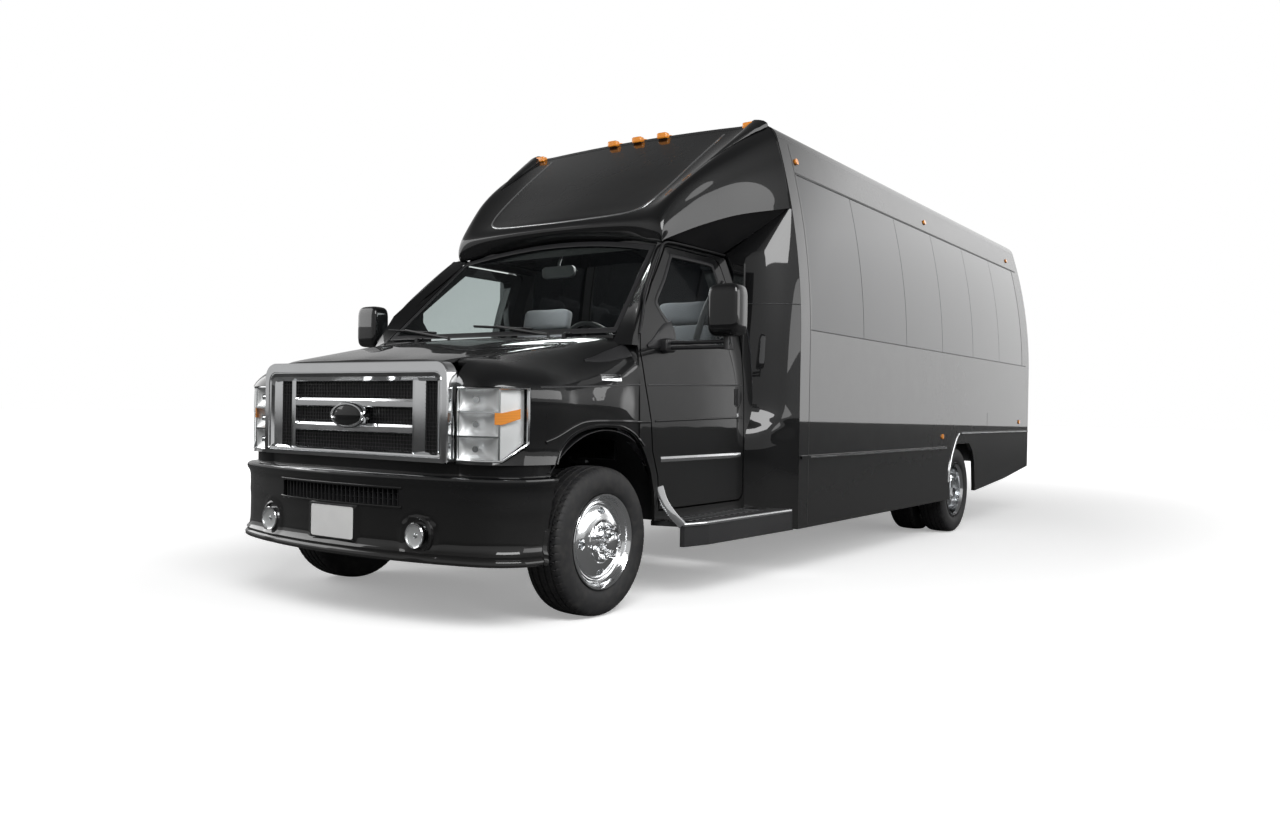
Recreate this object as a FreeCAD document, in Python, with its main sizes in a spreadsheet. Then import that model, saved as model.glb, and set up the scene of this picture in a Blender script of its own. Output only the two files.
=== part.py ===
import FreeCAD, Part
import math
import os

import Sketcher

# A cutaway-cab minibus. Front faces -Y, the driver's side is +X, the ground is Z = 0.
# Every piece is drawn with Y measured from the front axle and is then placed by axle_y.

os.makedirs("parts", exist_ok=True)
doc = FreeCAD.newDocument("Minibus")
sheet = doc.addObject("Spreadsheet::Sheet", "Sizes")
nodes = []
Vec = FreeCAD.Vector


class Size(float):
    """A number that keeps the sheet expression it comes from."""

    def __new__(cls, value, text):
        size = super().__new__(cls, value)
        size.text = text
        return size

    def __add__(self, other):
        return Size(float(self) + float(other), f"({self.text} + {textOf(other)})")

    def __radd__(self, other):
        return Size(float(other) + float(self), f"({textOf(other)} + {self.text})")

    def __sub__(self, other):
        return Size(float(self) - float(other), f"({self.text} - {textOf(other)})")

    def __rsub__(self, other):
        return Size(float(other) - float(self), f"({textOf(other)} - {self.text})")

    def __mul__(self, other):
        return Size(float(self) * float(other), f"({self.text} * {textOf(other)})")

    def __rmul__(self, other):
        return Size(float(other) * float(self), f"({textOf(other)} * {self.text})")

    def __truediv__(self, other):
        return Size(float(self) / float(other), f"({self.text} / {textOf(other)})")

    def __neg__(self):
        return Size(-float(self), f"(-{self.text})")


def textOf(value):
    """The expression text of a size, or the plain number."""
    return value.text if isinstance(value, Size) else repr(float(value))


def size(alias, value):
    """Write one driving dimension to the sheet and hand it back."""
    cell = "A" + str(size.row)
    size.row += 1
    sheet.set(cell, str(value))
    sheet.setAlias(cell, alias)
    return Size(value, "Sizes." + alias)


size.row = 1

# Running gear
wheelbase = size("wheelbase", 4826)
front_overhang = size("front_overhang", 868)
rear_overhang = size("rear_overhang", 2364)
tyre_radius = size("tyre_radius", 368)
tyre_width = size("tyre_width", 223)
flange_radius = size("flange_radius", 235)
front_track = size("front_track", 1763)
tow_hole = size("tow_hole", 19)
rear_track = size("rear_track", 1876)
dual_spacing = size("dual_spacing", 267)
flange_half = size("flange_half", 104)
hub_bore = size("hub_bore", 30)
pin_clearance = size("pin_clearance", 0.08)
kingpin_x = size("kingpin_x", 735)
kingpin_radius = size("kingpin_radius", 17)

# Chassis
rail_x = size("rail_x", 402)
rail_height = size("rail_height", 170)
rail_width = size("rail_width", 64)
rail_bottom = size("rail_bottom", 470)
rail_wall = size("rail_wall", 8)
rail_kick = size("rail_kick", 95)

# Cab
cab_half = size("cab_half", 1003)
cab_back = size("cab_back", 1455)
cab_floor_top = size("cab_floor_top", 720)
door_front = size("door_front", 287)
door_rear = size("door_rear", 1342)
door_bottom = size("door_bottom", 496)
door_gap = size("door_gap", 10)
seat_gap = size("seat_gap", 0.3)
door_thick = size("door_thick", 62)
belt_top = size("belt_top", 1335)
skin = size("skin", 18)
arch_radius = size("arch_radius", 555)
lamp_reach = size("lamp_reach", 345)
hood_rear = size("hood_rear", 200)
hood_front = size("hood_front", -690)
screen_bow = size("screen_bow", 34)
screen_thick = size("screen_thick", 8)

# Body
body_half = size("body_half", 1220)
body_front = size("body_front", 1653)
body_rear = size("body_rear", 7060)
body_wall = size("body_wall", 32)
skirt_bottom = size("skirt_bottom", 303)
side_straight = size("side_straight", 1450)
side_radius = size("side_radius", 4400)
eave_z = size("eave_z", 2720)
roof_top = size("roof_top", 2836)
floor_top = size("floor_top", 800)
window_bottom = size("window_bottom", 1530)
window_top = size("window_top", 2512)
window_start = size("window_start", 1808)
window_pitch = size("window_pitch", 830.3)
window_count = size("window_count", 6)
glass_thick = size("glass_thick", 5)
glass_recess = size("glass_recess", 7)
entry_start = size("entry_start", 1830)
entry_width = size("entry_width", 800)
entry_top = size("entry_top", 2440)

axle_y = (front_overhang - wheelbase - rear_overhang) / 2
wheel_x = front_track / 2
dual_x = rear_track / 2


def finish(thing, label):
    """Name a sub-part, put it at the front axle and list it for export."""
    thing.Label = label
    thing.setExpression("Placement.Base.y", axle_y.text)
    nodes.append(thing)
    return thing


def feature(label, shape):
    """A sub-part whose shape is worked out from the sheet's sizes."""
    thing = doc.addObject("Part::Feature", label)
    thing.Shape = shape
    return finish(thing, label)


def onPlane(body, name, role, points):
    """A closed sketch outline whose corners are bound to the sheet."""
    sketch = body.newObject("Sketcher::SketchObject", name)
    plane = [f for f in body.Origin.OriginFeatures if f.Role == role][0]
    sketch.AttachmentSupport = [(plane, "")]
    sketch.MapMode = "FlatFace"
    count = len(points)
    for i in range(count):
        a = points[i]
        b = points[(i + 1) % count]
        sketch.addGeometry(Part.LineSegment(Vec(a[0], a[1], 0), Vec(b[0], b[1], 0)), False)
    for i in range(count):
        sketch.addConstraint(Sketcher.Constraint("Coincident", i, 2, (i + 1) % count, 1))
    for i, (across, up) in enumerate(points):
        bindCorner(sketch, "DistanceX", i, across)
        bindCorner(sketch, "DistanceY", i, up)
    return sketch


def bindCorner(sketch, kind, corner, value):
    """Hold one coordinate of an outline corner at a sheet value."""
    index = sketch.addConstraint(Sketcher.Constraint(kind, -1, 1, corner, 1, float(value)))
    if isinstance(value, Size):
        sketch.setExpression(f"Constraints[{index}]", value.text)


def turned(label, profile, x, y, z):
    """A body of revolution about its own X axis; profile corners are (x, radius)."""
    body = doc.addObject("PartDesign::Body", label)
    sketch = onPlane(body, label + "_profile", "XY_Plane", profile)
    spin = body.newObject("PartDesign::Revolution", label + "_turn")
    spin.Profile = sketch
    spin.ReferenceAxis = (sketch, ["H_Axis"])
    spin.Angle = 360
    body.setExpression("Placement.Base.x", textOf(x))
    body.setExpression("Placement.Base.z", textOf(z))
    body.Label = label
    body.setExpression("Placement.Base.y", textOf(y + axle_y))
    nodes.append(body)
    return body


def box(x0, y0, z0, x1, y1, z1):
    """A solid box between two corners."""
    return Part.makeBox(x1 - x0, y1 - y0, z1 - z0, Vec(x0, y0, z0))


def tube(points, radius):
    """A round bar along straight runs, with balls at its turns."""
    parts = []
    for a, b in zip(points, points[1:]):
        parts.append(Part.makeCylinder(radius, (b - a).Length, a, b - a))
    for p in points[1:-1]:
        parts.append(Part.makeSphere(radius, p))
    return parts[0].multiFuse(parts[1:]) if len(parts) > 1 else parts[0]


def wireOf(points):
    """A closed wire through corners."""
    return Part.makePolygon(list(points) + [points[0]])


def prism(points, direction):
    """A closed outline pushed along a direction."""
    return Part.Face(wireOf(points)).extrude(direction)


def mirrored(shape):
    """The same shape on the other side of the vehicle."""
    return shape.mirror(Vec(0, 0, 0), Vec(1, 0, 0))


def pair(shape):
    """A shape and its mirror image as one compound."""
    return Part.Compound([shape, mirrored(shape)])


def sided(shape, side):
    """A shape drawn for the +X side, on the side asked for."""
    return shape if side > 0 else mirrored(shape)


def offsetCurve(points, thickness):
    """Points moved square to their curve, towards its inner side."""
    moved = []
    last = len(points) - 1
    for i, p in enumerate(points):
        ahead = points[min(i + 1, last)] - points[max(i - 1, 0)]
        normal = Vec(ahead[1], -ahead[0], 0)
        normal.normalize()
        moved.append(p - normal * thickness)
    return moved


def spline(points):
    """A smooth edge through points."""
    curve = Part.BSplineCurve()
    curve.interpolate(points)
    return curve.toShape()


def ribbon(points, thickness, place, upright=False):
    """A thin closed section: an outer curve, its offset, and two closing lines.

    points are (across, up) in the section's plane, and place turns them into space.
    upright makes the closing lines vertical, so that two edges can lie side by side.
    """
    outer = [Vec(p[0], p[1], 0) for p in points]
    inner = offsetCurve(outer, thickness)
    if upright:
        inner[0] = Vec(outer[0].x, inner[0].y, 0)
        inner[-1] = Vec(outer[-1].x, inner[-1].y, 0)
    out3 = [place(p) for p in outer]
    in3 = [place(p) for p in inner]
    edges = [spline(out3), Part.makeLine(out3[-1], in3[-1])]
    edges += [spline(in3[::-1]), Part.makeLine(in3[0], out3[0])]
    return Part.Wire(edges)


def atY(y):
    """Section plane across the vehicle at a distance behind the front axle."""
    return lambda p: Vec(p.x, y, p.y)


def loft(wires, ruled=False):
    """A solid through closed sections."""
    return Part.makeLoft(wires, True, ruled, False, 3)


def roundedPrism(y0, z0, y1, z1, radius, x0, x1):
    """A box from x0 to x1 whose outline in the side view has rounded corners."""
    block = box(x0, y0, z0, x1, y1, z1)
    edges = [e for e in block.Edges if abs(e.Vertexes[0].X - e.Vertexes[1].X) > 1e-6]
    return block.makeFillet(radius, edges)


def wheelCut(y, radius, x0, x1):
    """The cylinder of air a wheel needs, across the vehicle."""
    return Part.makeCylinder(radius, x1 - x0, Vec(x0, y, tyre_radius), Vec(1, 0, 0))


# Wheels


def tyreProfile(offset):
    """Half-worn road tyre section as (x, radius) corners; its bore sits on the rim."""
    half = tyre_width / 2
    bore = flange_radius + seat_gap
    return [
        (offset - half, bore), (offset - half, tyre_radius - 34), (offset - half + 26, tyre_radius),
        (offset + half - 26, tyre_radius), (offset + half, tyre_radius - 34), (offset + half, bore),
    ]


def frontTyre(label, side):
    turned(label, tyreProfile(Size(0, "0")), side * wheel_x, 0, tyre_radius)


def rearTyres(label, side):
    """Twin tyres on one hub, as two rings that do not touch."""
    rings = []
    for place in (-1, 1):
        outline = [Vec(x, r, 0) for x, r in tyreProfile(side * dual_x + place * dual_spacing / 2)]
        face = Part.Face(wireOf(outline))
        ring = face.revolve(Vec(0, 0, 0), Vec(1, 0, 0), 360)
        ring.translate(Vec(0, wheelbase, tyre_radius))
        rings.append(ring)
    feature(label, Part.Compound(rings))


def frontRim(label, side):
    """Rim, domed cover and hub of a front wheel in one turned piece."""
    s = side
    bore = hub_bore + pin_clearance
    profile = [
        (s * -flange_half, flange_radius),
        (s * flange_half, flange_radius),
        (s * flange_half, flange_radius - 17),
        (s * 66, flange_radius - 33),
        (s * 66, flange_radius - 52),
        (s * 88, 118),
        (s * 92, 84),
        (s * 150, 84),
        (s * 166, 60),
        (s * 166, 0),
        (s * 84, 0),
        (s * 84, bore),
        (s * -20, bore),
        (s * -20, 74),
        (s * 44, 74),
        (s * 44, flange_radius - 30),
        (s * -flange_half, flange_radius - 30),
    ]
    turned(label, profile, side * wheel_x, 0, tyre_radius)


def rearRims(label, side):
    """Two dished rims back to back on one hub."""
    s = side
    bore = hub_bore + 14 + pin_clearance
    outer = dual_spacing / 2
    profile = [
        (s * (outer + flange_half), flange_radius),
        (s * (outer + flange_half), flange_radius - 16),
        (s * (outer + flange_half - 22), flange_radius - 30),
        (s * 32, flange_radius - 34),
        (s * 22, 150),
        (s * 22, 88),
        (s * 100, 88),
        (s * 110, 62),
        (s * 110, 0),
        (s * 90, 0),
        (s * 90, bore),
        (s * -60, bore),
        (s * -60, 96),
        (s * -4, 96),
        (s * -4, flange_radius - 30),
        (s * (-outer - flange_half), flange_radius - 30),
        (s * (-outer - flange_half), flange_radius),
        (s * (flange_half - outer), flange_radius),
        (s * (flange_half - outer), flange_radius - 18),
        (s * (outer - flange_half), flange_radius - 18),
        (s * (outer - flange_half), flange_radius),
    ]
    turned(label, profile, side * dual_x, wheelbase, tyre_radius)


def knuckle(label, side):
    """Spindle, kingpin and steering arm."""
    z = tyre_radius
    reach = wheel_x + 78 - kingpin_x
    spindle = Part.makeCylinder(hub_bore, reach, Vec(kingpin_x, 0, z), Vec(1, 0, 0))
    flange = Part.makeCylinder(62, 22, Vec(kingpin_x + 58, 0, z), Vec(1, 0, 0))
    pin = Part.makeCylinder(kingpin_radius, 190, Vec(kingpin_x, 0, z - 95))
    upper = box(kingpin_x - 34, -34, z + 60, kingpin_x + 70, 34, z + 95)
    lower = box(kingpin_x - 34, -34, z - 95, kingpin_x + 70, 34, z - 60)
    web = box(kingpin_x + 44, -34, z - 95, kingpin_x + 70, 34, z + 95)
    arm = box(kingpin_x - 10, 20, z - 95, kingpin_x + 20, 190, z - 70)
    body = spindle.multiFuse([flange, pin, upper, lower, web, arm])
    core = box(kingpin_x - 40, -40, z - 60, kingpin_x + 44, 40, z + 60)
    body = body.cut(core.cut(pin))
    stub = Part.makeCylinder(hub_bore, reach - 44, Vec(kingpin_x + 44, 0, z), Vec(1, 0, 0))
    feature(label, sided(body.fuse(stub).removeSplitter(), side))


def frontBeams():
    """Two forged beams that cross, each hung from the far rail and holding one kingpin."""
    z = tyre_radius
    eye = Part.makeCylinder(32, 116, Vec(kingpin_x, 0, z - 58))
    hole = Part.makeCylinder(kingpin_radius + pin_clearance, 200, Vec(kingpin_x, 0, z - 100))
    beams = []
    for side in (1, -1):
        lane = 42 * side
        start = wireOf([Vec(kingpin_x - 24, -22, z - 42), Vec(kingpin_x - 24, 22, z - 42),
                        Vec(kingpin_x - 24, 22, z + 42), Vec(kingpin_x - 24, -22, z + 42)])
        middle = wireOf([Vec(420, lane - 28, z - 78), Vec(420, lane + 28, z - 78),
                         Vec(420, lane + 28, z + 12), Vec(420, lane - 28, z + 12)])
        end = wireOf([Vec(-rail_x, lane - 28, z - 50), Vec(-rail_x, lane + 28, z - 50),
                      Vec(-rail_x, lane + 28, z + 40), Vec(-rail_x, lane - 28, z + 40)])
        bar = loft([start, middle, end], True)
        hanger = box(-rail_x - 60, lane - 34, z - 60, -rail_x, lane + 34, rail_bottom + 40 - seat_gap)
        beam = bar.multiFuse([eye, hanger]).cut(hole)
        beams.append(sided(beam, side))
    feature("front_beams", Part.Compound(beams))


def rearAxle():
    """Axle housing turned about its own line, with pinion nose, spring seats and leaf springs."""
    spindle = hub_bore + 14
    reach = dual_x + 84
    drum = dual_x - 130
    half = [(reach, spindle), (drum, spindle), (drum, 150), (drum - 70, 150), (drum - 70, 52), (260, 52),
            (150, 140), (60, 165)]
    outline = [Vec(x, r, 0) for x, r in half] + [Vec(-x, r, 0) for x, r in reversed(half)]
    outline = [Vec(reach, 0, 0)] + outline + [Vec(-reach, 0, 0)]
    housing = Part.Face(wireOf(outline)).revolve(Vec(0, 0, 0), Vec(1, 0, 0), 360)
    nose = Part.makeCone(62, 90, 150, Vec(0, -250, 0), Vec(0, 1, 0))
    parts = [nose]
    for side in (1, -1):
        leaf = leafSpring()
        leaf.translate(Vec(side * spring_x, 0, 0))
        parts.append(leaf)
    axle = housing.multiFuse(parts)
    axle.translate(Vec(0, wheelbase, tyre_radius))
    feature("rear_axle", Part.Compound([axle]))


spring_x = size("spring_x", 470)
spring_half = size("spring_half", 640)
spring_rise = size("spring_rise", 70)


def leafSpring():
    """A bowed pack of stepped leaves on its axle seat, with the two shackle blocks."""
    width = 76
    top = 104
    tip = top + spring_rise
    crown = Part.Arc(Vec(0, -spring_half, tip), Vec(0, 0, top), Vec(0, spring_half, tip)).toShape()
    step = [Vec(0, spring_half, tip), Vec(0, spring_half, tip - 16), Vec(0, 480, tip - 46), Vec(0, 480, tip - 62),
            Vec(0, 320, tip - 78), Vec(0, 320, tip - 94), Vec(0, 60, 40)]
    under = step + [Vec(0, -p.y, p.z) for p in reversed(step)]
    edges = [crown] + [Part.makeLine(a, b) for a, b in zip(under, under[1:])]
    pack = Part.Face(Part.Wire(edges)).extrude(Vec(width, 0, 0))
    pack.translate(Vec(-width / 2, 0, 0))
    lift = rail_bottom + rail_kick - tyre_radius - seat_gap
    ends = [box(-width / 2, -spring_half, tip - 10, width / 2, 60 - spring_half, lift)]
    ends.append(box(-width / 2, spring_half - 60, tip - 10, width / 2, spring_half, lift))
    return pack.multiFuse(ends)


# Chassis


def railPath(low):
    """Side view of a rail: it dips between the axles and climbs over each of them."""
    b = rail_bottom
    k = rail_kick
    h = 0 if low else rail_height
    return [
        Vec(0, -640, b + 40 + h), Vec(0, 420, b + 40 + h), Vec(0, 760, b + h),
        Vec(0, wheelbase - 1060, b + h), Vec(0, wheelbase - 700, b + k + h),
        Vec(0, wheelbase + 700, b + k + h), Vec(0, wheelbase + 1060, b + 40 + h),
        Vec(0, body_rear - 90, b + 40 + h),
    ]


def frameRails():
    """Two channel rails, open towards each other."""
    outline = railPath(True) + railPath(False)[::-1]
    solid = prism(outline, Vec(rail_width, 0, 0))
    grow = rail_wall
    inner = [p + Vec(0, 0, grow) for p in railPath(True)]
    inner += [p - Vec(0, 0, grow) for p in railPath(False)[::-1]]
    hollow = prism(inner, Vec(rail_width, 0, 0))
    hollow.translate(Vec(-grow, 0, 0))
    rail = solid.cut(hollow)
    rail.translate(Vec(rail_x, 0, 0))
    feature("frame_rails", pair(rail))


cross_count = size("cross_count", 9)


def railLift(y):
    """How far the rail's lower edge stands above rail_bottom at a station."""
    path = railPath(True)
    for a, b in zip(path, path[1:]):
        if a.y <= y <= b.y:
            return a.z + (b.z - a.z) * (y - a.y) / (b.y - a.y) - rail_bottom
    return 40.0


def crossMembers():
    """Flanged channels across the rails, with outriggers under the body."""
    count = int(cross_count)
    first = 980
    last = body_rear - 160
    stations = [-600] + [first + (last - first) * i / (count - 1) for i in range(count)]
    parts = []
    for y in stations:
        z = rail_bottom + railLift(y) + rail_height / 2
        bar = box(seat_gap - rail_x, y - 38, z - 34, rail_x - seat_gap, y + 38, z + 34)
        dent = box(-rail_x, y - 30, z - 26, rail_x, y + 46, z + 26)
        parts.append(bar.cut(dent))
    feature("cross_members", Part.Compound(parts))


def driveShaft():
    """Two tubular shafts with joints and a centre bearing."""
    start = Vec(0, 902, 456)
    middle = Vec(0, 2700, 430)
    end = Vec(0, wheelbase - 250.3, tyre_radius)
    shape = tube([start, middle, end - Vec(0, 40, 0)], 44)
    yokes = [Part.makeCylinder(52, 60, start, middle - start)]
    yokes.append(Part.makeCylinder(60, 40, end - Vec(0, 40, 0), Vec(0, 1, 0)))
    shape = shape.multiFuse(yokes)
    feature("drive_shaft", shape)


def engineBlock():
    """The engine and gearbox as one plain mass."""
    block = box(-270, -420, 470, 270, 420, 1120)
    gearbox = box(-170, 420, 420, 170, 899.7, 690)
    foot = box(-440, -60, 518 + seat_gap, 440, 60, 560)
    feature("engine_block", block.multiFuse([gearbox, foot]))


def fuelTank():
    """A rounded tank between the rails and the left skirt."""
    tank = box(500, 2300, 330, 1000, 3500, 690)
    tank = tank.makeFillet(60, [e for e in tank.Edges if abs(e.Vertexes[0].Y - e.Vertexes[1].Y) > 1])
    straps = [box(rail_x + rail_width + seat_gap, y, 500, 510, y + 80, 580) for y in (2480, 3240)]
    feature("fuel_tank", tank.multiFuse(straps))


def exhaustPipe():
    """Down pipe, silencer and tail pipe along the right rail."""
    route = [Vec(-300, 860, 410), Vec(-300, 1500, 410), Vec(-590, 2000, 420), Vec(-590, 3900, 420), Vec(-590, 4250, 560),
             Vec(-590, 5350, 560), Vec(-590, 5700, 420), Vec(-590, 6990, 420)]
    pipe = tube(route, 32)
    can = Part.makeCylinder(110, 900, Vec(-590, 2300, 420), Vec(0, 1, 0))
    hangers = [box(-585, y, 470, -rail_x - rail_width - seat_gap, y + 30, z)
               for y, z in ((2100, 500), (3600, 500), (6200, 540))]
    legs = [box(-600, y, 430, -570, y + 30, z) for y, z in ((2100, 500), (3600, 500), (6200, 540))]
    feature("exhaust_pipe", pipe.multiFuse([can] + hangers + legs))


# Cab


def cabSide(z):
    """Half width of the cab at a height: upright below the belt, leaning in above it."""
    if z <= belt_top:
        return cab_half - 18 * ((z - 900) / 435) ** 2 * (z > 900)
    rise = z - belt_top
    return cab_half - 18 - 0.16 * rise - 0.00024 * rise * rise


def sidePoints(z0, z1, count, inset):
    """Points up the cab side between two heights."""
    points = []
    for i in range(count):
        z = z0 + (z1 - z0) * i / (count - 1)
        points.append((cabSide(z) - inset, z))
    return points


def cabSideWall(z0, z1, inset, thickness, y0, y1):
    """A slice of the cab side, as thick as asked, between two stations."""
    count = 7
    place = atY(y0)
    points = sidePoints(z0, z1, count, inset)
    wire = ribbon(points, thickness, place)
    return Part.Face(wire).extrude(Vec(0, y1 - y0, 0))


door_outline_radius = size("door_outline_radius", 60)
door_top = size("door_top", 1932)


def doorOutline(grow):
    """Side view of a cab door; grow widens it all round."""
    g = grow
    return [
        Vec(0, 456 - g, door_bottom - g), Vec(0, door_rear + g, door_bottom - g),
        Vec(0, door_rear + g, door_top + g), Vec(0, 770 - g * 0.6, door_top + g),
        Vec(0, 507 - g * 0.7, 1694 + g * 0.7), Vec(0, 388 - g, 1563 + g * 0.5),
        Vec(0, 302 - g, 1405), Vec(0, door_front - g, 1315), Vec(0, 320 - g, 1144),
        Vec(0, 370 - g, 964), Vec(0, 388 - g, 800), Vec(0, 440 - g, 670),
    ]


def doorPrism(grow):
    """The door outline as a block across one side of the cab."""
    block = prism([p + Vec(500, 0, 0) for p in doorOutline(grow)], Vec(700, 0, 0))
    corners = [e for e in block.Edges if isSideCorner(e)]
    return block.makeFillet(door_outline_radius, corners)


def isSideCorner(edge):
    """The rear lower, rear upper and top front corners of the door block."""
    a = edge.Vertexes[0]
    b = edge.Vertexes[1]
    across = abs(a.X - b.X) > 1
    return across and a.Y > 600 and abs(a.Y - b.Y) < 1


def windowPrism(grow):
    """The glazed part of a door, as a block across the side."""
    g = grow
    points = [
        Vec(500, 632 - g, 1398 - g), Vec(500, 1236 + g, 1398 - g), Vec(500, 1236 + g, 1874 + g),
        Vec(500, 800 - g * 0.6, 1874 + g), Vec(500, 516 - g, 1604), Vec(500, 530 - g, 1548),
        Vec(500, 622 - g, 1462),
    ]
    block = prism(points, Vec(700, 0, 0))
    corners = [e for e in block.Edges if isGlassCorner(e)]
    return block.makeFillet(40, corners)


def isGlassCorner(edge):
    """The rear and top corners of the door window."""
    a = edge.Vertexes[0]
    b = edge.Vertexes[1]
    return abs(a.X - b.X) > 1 and (a.Y > 1000 or a.Z > 1800)


def cabDoor(label, side):
    """Door with an outer skin that laps its inner frame, a window, and two hinge barrels."""
    wall = cabSideWall(door_bottom - 60, door_top + 60, 0, door_thick, door_front - 80, door_rear + 60)
    face = cabSideWall(door_bottom - 60, door_top + 60, 0, 12, door_front - 80, door_rear + 60)
    panel = face.common(doorPrism(0)).fuse(wall.common(doorPrism(-12))).cut(windowPrism(0))
    pocket = cabSideWall(door_bottom + 45, belt_top - 20, 8, door_thick - 16, 480, door_rear - 60)
    panel = panel.cut(pocket)
    barrels = []
    for z, reach in doorHinges():
        barrels.append(Part.makeCylinder(hinge_radius, hinge_length, Vec(hinge_x, hinge_y, z)))
        barrels.append(gooseneck(z + 4, hinge_length - 8, reach))
    feature(label, sided(panel.multiFuse(barrels), side))


hinge_x = size("hinge_x", 962)
hinge_y = size("hinge_y", 260)
hinge_radius = size("hinge_radius", 8)
hinge_length = size("hinge_length", 40)


def doorHinges():
    """Foot height of each cab door hinge and the radius of its curved strap."""
    return (1000, 111), (1190, 67)


def gooseneck(z, height, radius):
    """A strap that runs inboard from its pin and curves back to the door, clear of the wing's edge."""
    centre = Vec(hinge_x, hinge_y, z)
    near = radius - 7
    far = radius + 7

    def at(r, angle):
        a = math.radians(angle)
        return centre + Vec(r * math.cos(a), r * math.sin(a), 0)
    edges = [
        Part.Arc(at(far, 158), at(far, 125), at(far, 92)).toShape(), Part.makeLine(at(far, 92), at(near, 92)),
        Part.Arc(at(near, 92), at(near, 120), at(near, 148)).toShape(), Part.makeLine(at(near, 148), at(5, 120)),
        Part.makeLine(at(5, 120), at(5, 190)), Part.makeLine(at(5, 190), at(far, 158)),
    ]
    neck = Part.Face(Part.Wire(edges)).extrude(Vec(0, 0, height))
    foot = box(945, hinge_y + near + 1, z, 960, hinge_y + near + 36, z + height)
    return neck.fuse(foot)


def doorEars():
    """The lugs on the shell above and below each hinge barrel."""
    ears = []
    for z, _ in doorHinges():
        for low in (z - 8 - seat_gap, z + hinge_length + seat_gap):
            ears.append(box(hinge_x - 8, hinge_y - 8, low, 992, hinge_y + 8, low + 8))
    return ears


def doorGlass(label, side):
    """Pane held in the door frame."""
    layer = cabSideWall(1360, 1930, 14, glass_thick, 420, 1330)
    pane = layer.common(windowPrism(-0.3))
    feature(label, sided(pane, side))


def mirror(label, side):
    """Tall mirror head on two horizontal tubes and a black base on the door."""
    head = box(1262, 470, 1400, 1442, 590, 1662)
    head = head.makeFillet(34, [e for e in head.Edges if abs(e.Vertexes[0].Z - e.Vertexes[1].Z) > 1])
    arms = []
    for z in (1372, 1345):
        arms.append(Part.makeCylinder(9, 1352 - 962, Vec(962, 520, z), Vec(1, 0, 0)))
    post = Part.makeCylinder(11, 70, Vec(1352, 520, 1335))
    base = box(986, 480, 1325, 1010, 560, 1392)
    shape = head.multiFuse(arms + [post])
    cutter = cabSideWall(1250, 1480, -0.3, 120, 380, 700)
    shape = shape.fuse(base).cut(cutter)
    biggest = max(shape.Solids, key=lambda s: s.Volume)
    feature(label, sided(biggest, side))


def fenderSection(outer, hood, place, shoulder=None):
    """Fender section: lower lip, flank, shoulder and the edge beside the hood."""
    hx, hz = hood
    top = 1118
    blend = (outer - (outer - hx) * 0.28, top + (hz - top) * 0.55)
    points = [(outer - 2, 760), (outer + 2, 940), (outer, top), shoulder or blend, (hx, hz)]
    outer3 = [Vec(x, z, 0) for x, z in points]
    inner3 = offsetCurve(outer3, skin)
    inner3[-1] = Vec(hx, inner3[-1].y, 0)
    inner3[0] = Vec(inner3[0].x, points[0][1], 0)
    out3 = [place(p) for p in outer3]
    in3 = [place(p) for p in inner3]
    edges = [spline(out3), Part.makeLine(out3[-1], in3[-1])]
    edges += [spline(in3[::-1]), Part.makeLine(in3[0], out3[0])]
    return Part.Wire(edges)


def turnedPlane(angle):
    """Section plane that swings round the nose from the side to the front."""
    centre = Vec(600, -470, 0)
    c = math.cos(math.radians(angle))
    s = math.sin(math.radians(angle))
    return lambda p: Vec(centre.x + p.x * c, centre.y - p.x * s, p.y)


def fender():
    """One front wing, from the grille round the lamp and back to the door."""
    sections = [
        fenderSection(cabSide(1118) - 1, (880, 1392), atY(door_front + 3), (cabSide(1250) - 3, 1250)),
        fenderSection(cabSide(1118) - 1, (846, 1379), atY(190), (cabSide(1250) - 9, 1250)),
        fenderSection(cab_half - 1, (795, 1345), atY(0)),
        fenderSection(cab_half - 3, (690, 1296), atY(-300)),
        fenderSection(394, (54, 1262), turnedPlane(0)),
        fenderSection(356, (52, 1252), turnedPlane(30)),
        fenderSection(274, (92, 1244), turnedPlane(62)),
        fenderSection(226, (150, 1238), turnedPlane(86)),
    ]
    wing = loft(sections).cut(box(0, -1000, 700, grille_half + seat_gap, -640, 1226))
    return wing.cut(archPrism()).cut(lampBlock(seat_gap))


def archPrism():
    """The front wheel opening as seen from the side, as a block through the outer skin."""
    rise = [Vec(900, -394, 700), Vec(900, -381, 771), Vec(900, -260, 884), Vec(900, -68, 927)]
    fall = [Vec(900, 96, 921), Vec(900, 227, 878), Vec(900, 319, 784), Vec(900, 372, 690)]
    curve = spline(rise + fall)
    foot = [Vec(900, 402, 590), Vec(900, 410, 500), Vec(900, 410, 250), Vec(900, -420, 250)]
    legs = [fall[-1]] + foot + [rise[0]]
    edges = [curve] + [Part.makeLine(a, b) for a, b in zip(legs, legs[1:])]
    return Part.Face(Part.Wire(edges)).extrude(Vec(300, 0, 0))


def lampBlock(grow):
    """The headlamp's outline seen from the front, as a block along the vehicle."""
    g = grow
    points = [
        Vec(676 - g, -900, 772 - g), Vec(905 + g * 0.4, -900, 772 - g), Vec(1030, -900, 925),
        Vec(1030, -900, 1106 + g), Vec(676 - g, -900, 1106 + g),
    ]
    return prism(points, Vec(0, lamp_reach, 0))


def lampShell(inset, thickness):
    """The lens surface, which carries on the shape of the wing round the corner."""
    def section(outer, place):
        points = [(outer - inset, 740), (outer + 4 - inset, 940), (outer - inset, 1140)]
        return ribbon(points, thickness, place)
    return loft([
        section(394, turnedPlane(0)), section(356, turnedPlane(30)),
        section(274, turnedPlane(62)), section(226, turnedPlane(86)),
    ])


def headlamps():
    """Deep lens blocks behind the wing's opening."""
    lens = lampShell(-3, 70).common(lampBlock(0))
    feature("headlamps", pair(lens))


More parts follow.
